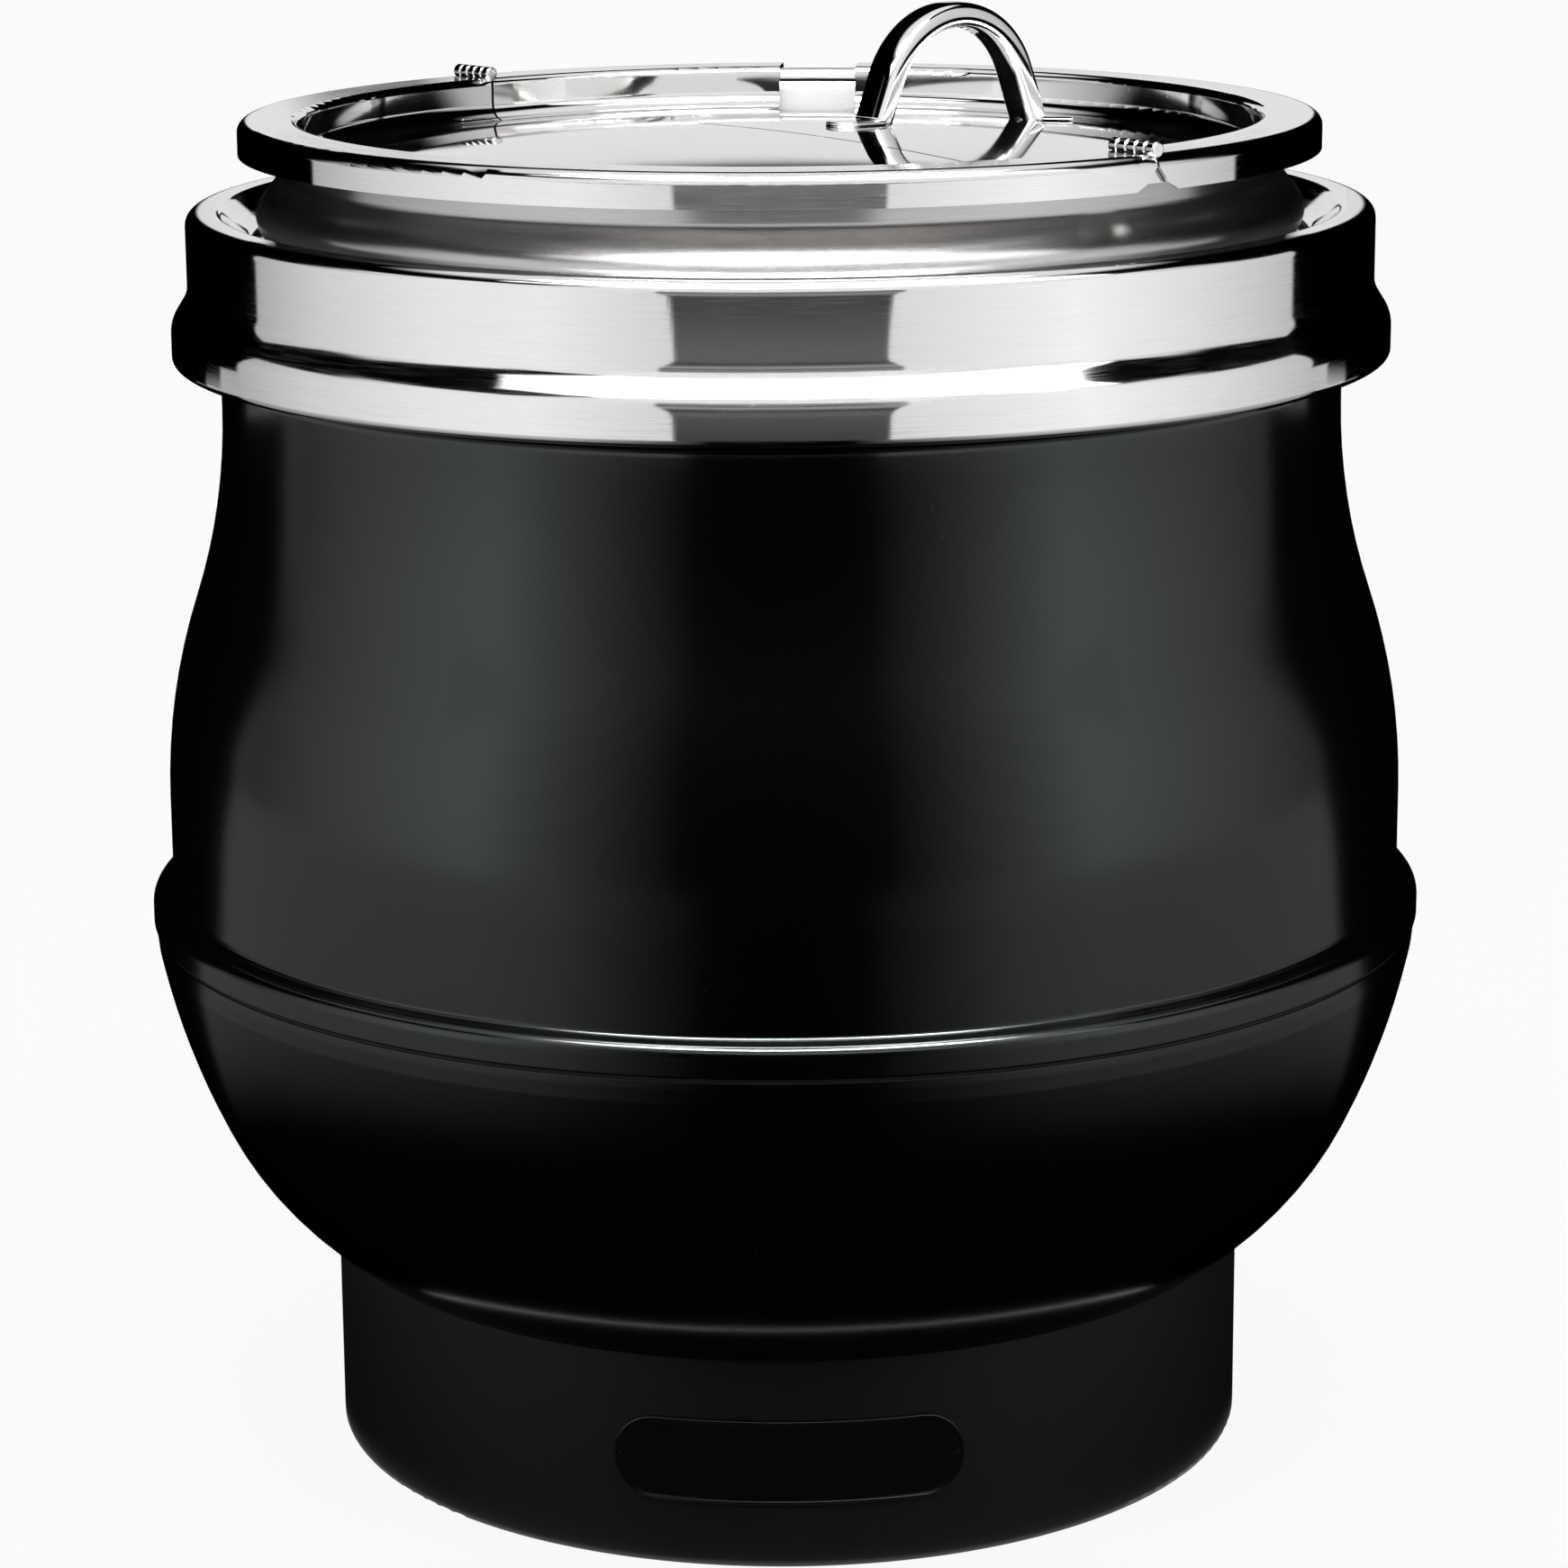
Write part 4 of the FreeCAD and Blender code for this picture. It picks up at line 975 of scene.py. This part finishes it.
for side, x in (("left", -BOX_BESIDE), ("right", BOX_BESIDE)):
    soft_box(f"soft_box_{side}", place=(x, -0.4, 0.5), facing=(0, 0, 0.2),
             width=1.6, height=0.9, radiance=0.25)
soft_box("soft_box_overhead", place=(0, -0.33, 1.35), facing=(0, -0.1, 0.3),
         width=1.5, height=0.4, radiance=1.0)
print("lamps ready")

# %% [markdown]
# Polished steel and gloss enamel show the room they stand in, so a photographer builds one: white
# cloth at both sides and high at the back, black cloth in front and low at the back, a dark table
# near the piece and a pale patch overhead. How much a point of that tent glows is a formula of its
# place, in metres and degrees. A picture of a studio would do the same, but a formula can be read
# and changed. Where a glow follows chosen values, they are two lists: places, and the value at
# each. An edge is a pair: its place, and how soft it is.

# %% Soft edges, and the side cloths
TABLE_START = ([12, 38], [0, 1])
TABLE_REACH = ([0.28, 0.36, 0.45, 0.63, 0.85, 1.5], [0, 0.18, 0.34, 0.48, 0.55, 0.62])
TABLE_GLOW = ([20, 52, 75, 112], [0.684, 1.14, 0.9975, 0.57])
WALL_START = ([17, 55], [0, 1])
WALL_GLOW = ([20, 52, 60, 84, 94, 105], [0.72, 1.2, 1.12, 0.66, 0.45, 0.24])
WALL_FOOT = ([0.05, 0.35], [0.9, 1.0])
WALL_TOP = (1.12, 0.15)
CLOTH_END = ([0.1, 0.2, 0.62, 1.0], [112.5, 110.0, 97.5, 86.0])
CLOTH_SKEW = 2.2
CLOTH_SOFT = 3.0
CLOTH_SOFTER = 9.0
SOFTER_FROM = (0.3, 0.3)


def rise(value, edge, soft):
    """Eased step from 0 to 1, 3 t^2 - 2 t^3, half way up at the edge and as wide as soft."""
    t = np.clip((value - edge) / soft + 0.5, 0, 1)
    return t * t * (3 - 2 * t)


def fall(value, edge, soft):
    """The same step downwards: 1 below the edge and 0 above it."""
    return rise(edge - value, 0, soft)


def between(value, low, high, soft):
    """1 from low to high and 0 outside: a step up times a step down."""
    return rise(value, low, soft) * fall(value, high, soft)


def side_cloths(x, z, turn, away, floor):
    """Side cloths: they grow slowly from beside the camera, are brightest square to the sides and
    fade behind the kettle. On the floor they also fade in with the distance."""
    far = np.interp(z, *CLOTH_END) - CLOTH_SKEW * np.sign(x)
    end = fall(turn, far, CLOTH_SOFT + CLOTH_SOFTER * rise(z, *SOFTER_FROM))
    start = np.where(floor, np.interp(turn, *TABLE_START), np.interp(turn, *WALL_START))
    table = np.interp(turn, *TABLE_GLOW) * np.interp(away, *TABLE_REACH)
    wall = np.interp(turn, *WALL_GLOW) * np.interp(z, *WALL_FOOT) * fall(z, *WALL_TOP)
    return np.where(floor, table, wall) * start * end


print("side cloths glow up to", max(WALL_GLOW[1]))

# %% [markdown]
# A bright strip hangs above the front, with a row of lamps over it, which the belly's edges see.
# Both are placed by bearing and lift, as the collar's front sees them.

# %% Strip and lamps
COLLAR_FRONT = 0.16
COLLAR_LEVEL = 0.29
STRIP_LOW = ([-60, -45, -25, 0, 30, 60], [44, 42, 35.5, 34, 30, 31])
STRIP_HIGH = ([-70, -60, 0, 60, 75], [48, 51, 66, 53, 47])
STRIP_SOFT = 3.0
STRIP_ENDS = (-68.5, 73.0, 2.0)
STRIP_GLOW = 2.4
LAMPS_LOW = (61, 2.0)
LAMPS_HIGH = (77, 4.0)
LAMPS_END = (78, 35.0)
LAMPS_GLOW = 66.0


def bright_strip(x, y, z):
    """Strip that lies lower and is narrower towards its ends, and the lamps over it, which fade
    towards theirs: each is a step up times a step down, both in lift and in bearing."""
    lift = np.degrees(np.arctan2(z - COLLAR_LEVEL, np.hypot(x, y + COLLAR_FRONT)))
    bearing = np.degrees(np.arctan2(x, -(y + COLLAR_FRONT)))
    low, high = np.interp(bearing, *STRIP_LOW), np.interp(bearing, *STRIP_HIGH)
    strip = between(lift, low, high, STRIP_SOFT) * between(bearing, *STRIP_ENDS)
    lamps = rise(lift, *LAMPS_LOW) * fall(lift, *LAMPS_HIGH) * fall(np.abs(bearing), *LAMPS_END)
    return STRIP_GLOW * strip + LAMPS_GLOW * lamps


print("the lamps glow", round(LAMPS_GLOW / STRIP_GLOW), "times as much as the strip")

# %% [markdown]
# A narrow back cloth begins above the kettle's top, with a cut in its foot at the left, and the
# pale patch lies overhead. Where two of these meet, the brighter one counts, as if it hung in front.

# %% The whole tent
TENT_TOP = 1350.0
TENT_FLOOR = 1.5
BACK_START = (166, 3.0)
BACK_LEVELS = (0.42, 0.70)
BACK_SOFT = 0.03
BACK_GLOW = 0.82
CUT_SIDES = (-0.268, -0.195, 0.02)
CUT_HEIGHT = 0.095
OVERHEAD_END = (0.8, 0.3)
OVERHEAD_GLOW = 0.9


def tent_glow(points):
    """Glow at points in metres: the greatest of the side cloths, the back cloth, the patch overhead
    and the strip with its lamps. What is between them stays black."""
    x, y, z = points.T
    away = np.hypot(x, y)
    turn = np.degrees(np.arctan2(np.abs(x), -y))
    floor = z < 2 * TENT_FLOOR * MM
    ceiling = z > (TENT_TOP - TENT_FLOOR) * MM
    low, high = BACK_LEVELS
    low = low + CUT_HEIGHT * between(x, *CUT_SIDES)
    back = BACK_GLOW * rise(turn, *BACK_START) * between(z, low, high, BACK_SOFT)
    overhead = OVERHEAD_GLOW * ceiling * fall(away, *OVERHEAD_END)
    cloths = np.maximum(side_cloths(x, z, turn, away, floor), np.maximum(back, overhead))
    return np.maximum(cloths, bright_strip(x, y, z))


print("the back cloth hangs from", BACK_LEVELS[1], "m to", BACK_LEVELS[0], "m")

# %% [markdown]
# The steel's white panels have crisp ends, and the enamel's are soft. One tent can't give both, so a
# paper band with a gap in front stands close round the steel, at a height that the enamel hardly
# sees. A white card hangs in front, just above the lid, where the lid's recess sees it.

# %% How the band and the card glow
BAND_END = ([0.268, 0.30], [103.5, 81.7])
BAND_SKEW = 1.9
BAND_SOFT = 1.0
BAND_WHITE = ([-84, -66, -46, -30, -13, 13, 38, 56, 80],
              [0.48, 0.77, 0.98, 1.04, 0.8, 0.85, 1.12, 0.92, 0.6])
GAP_HALF = ([0.29, 0.32, 0.35], [12.6, 13.2, 15.2])
GAP_SOFT = 0.6
GAP_GREY = ([0.2925, 0.2975, 0.305, 0.313, 0.3275, 0.333, 0.338, 0.344, 0.347, 0.351, 0.356],
            [0.055, 0.09, 0.13, 0.14, 0.04, 0.1, 0.4, 0.4, 0.12, 0.16, 0.25])
CARD_GLOW = 0.95


def band_glow(points):
    """Glow of the paper band: white at both sides of a dim gap in front, with crisp edges that lie
    a little further apart at the lid's height, and brightest half way to the sides."""
    x, y, z = points.T
    bearing = np.degrees(np.arctan2(x, -y))
    side = rise(np.abs(bearing), np.interp(z, *GAP_HALF), GAP_SOFT)
    glow = side * np.interp(bearing, *BAND_WHITE) + (1 - side) * np.interp(z, *GAP_GREY)
    far = np.interp(z, *BAND_END) - BAND_SKEW * np.sign(x)
    return glow * fall(np.abs(bearing), far, BAND_SOFT)


def card_glow(points):
    """The white card glows evenly."""
    return np.full(len(points), CARD_GLOW)


print("the band's gap is", 2 * GAP_HALF[1][0], "degrees wide at its foot")

# %% [markdown]
# The tent is a single surface carried round the axis: floor, wall and ceiling are one section. The
# card is flat, and the band is a piece of a drum whose foot follows a few chosen levels. Their sizes
# are in millimetres, as those of all pieces are.

# %% Tent, card and band as pieces
TENT_R = 1500.0
TENT_HOLE = 10.0
TENT_STEPS = 360
TABLE_GAP = 2.0
TABLE_ROWS = 60
WALL_ROWS = 90
CARD_AWAY = 400.0
CARD_HALF = 700.0
CARD_LEVELS = (379.0, 570.0)
BAND_R = 250.0
BAND_HALF = 112
BAND_FOOT = ([0, 42, 62, 80, 92, 112], [286.5, 284.0, 281.5, 281.5, 275.5, 267.0])
BAND_TOP = 366.0
BAND_STEPS = 600
BAND_ROWS = 14

table = np.linspace(plinth_r + TABLE_GAP, TENT_R, TABLE_ROWS)
wall = np.linspace(TENT_FLOOR, TENT_TOP, WALL_ROWS + 2)[1:-1]
roof = np.linspace(TENT_R, TENT_HOLE, WALL_ROWS)
section = np.vstack([np.stack([table, np.full(TABLE_ROWS, TENT_FLOOR)], axis=-1),
                     np.stack([np.full(WALL_ROWS, TENT_R), wall], axis=-1),
                     np.stack([roof, np.full(WALL_ROWS, TENT_TOP)], axis=-1)])
tent = piece("light_tent", round_axis(section, TENT_STEPS), close_columns=True)
across, up = np.meshgrid(np.linspace(-CARD_HALF, CARD_HALF, 2), np.linspace(*CARD_LEVELS, 2))
card = piece("white_card", np.stack([across, 0 * across - CARD_AWAY, up], axis=-1))
bearing = np.linspace(-BAND_HALF, BAND_HALF, BAND_STEPS)
foot = np.interp(np.abs(bearing), *BAND_FOOT)
level = foot + (BAND_TOP - foot) * np.linspace(0, 1, BAND_ROWS)[:, None]
turn = np.radians(bearing) + 0 * level
drum = np.stack([BAND_R * np.sin(turn), -BAND_R * np.cos(turn), level], axis=-1)
band = piece("paper_band", drum)

# %% [markdown]
# Each point of these pieces carries its glow as an attribute, which the cloth's surface gives off.
# Only mirror rays see them, so they neither light the floor nor shade it.

# %% Hanging the tent, card and band
cloth = bpy.data.materials.new("tent_cloth")
cloth.use_nodes = True
shader = cloth.node_tree.nodes["Principled BSDF"]
shader.inputs["Base Color"].default_value = grey(0.0)
shader.inputs["Specular IOR Level"].default_value = 0.0
shader.inputs["Emission Strength"].default_value = 1.0
glow = Wire(shader.outputs[0]).add("ShaderNodeAttribute", {"attribute_name": "glow"}, None, "Fac")
lay(shader, Emission_Color=glow)


def hang(made, formula):
    """The piece glows by a formula of its points, and only mirrors see it."""
    place = np.zeros(3 * len(made.data.vertices))
    made.data.vertices.foreach_get("co", place)
    kept = made.data.attributes.new("glow", "FLOAT", "POINT")
    kept.data.foreach_set("value", formula(place.reshape(-1, 3)))
    made.data.materials.append(cloth)
    for rays in ("camera", "diffuse", "transmission", "volume_scatter", "shadow"):
        setattr(made, "visible_" + rays, False)


hang(tent, tent_glow)
hang(card, card_glow)
hang(band, band_glow)
print("tent ready")

# %% [markdown]
# The camera stands in front, a little above the lid, and looks down. Its distance, height and
# tilt were fitted to the rings of the lid, collar, belly and plinth, and the lens to their size
# in a square picture.

# %% Camera
PICTURE = 1741
FOCAL_PIXELS = 5309.0
CENTRE_X = 870.9
camera_place = Vector((0, -1.294, 0.500))
tilt_down = math.radians(13.82)
roll = math.radians(-0.42)

lens = bpy.data.cameras.new("camera")
lens.sensor_width = 36.0
lens.lens = FOCAL_PIXELS / PICTURE * lens.sensor_width
lens.shift_x = -(CENTRE_X - PICTURE / 2) / PICTURE
camera = bpy.data.objects.new("camera", lens)
bpy.context.scene.collection.objects.link(camera)
turn = Matrix.Rotation(math.pi / 2 - tilt_down, 4, "X") @ Matrix.Rotation(roll, 4, "Z")
camera.matrix_world = Matrix.Translation(camera_place) @ turn
bpy.context.scene.camera = camera
bpy.context.scene.view_settings.view_transform = "Standard"
print("lens", round(lens.lens, 1), "mm")
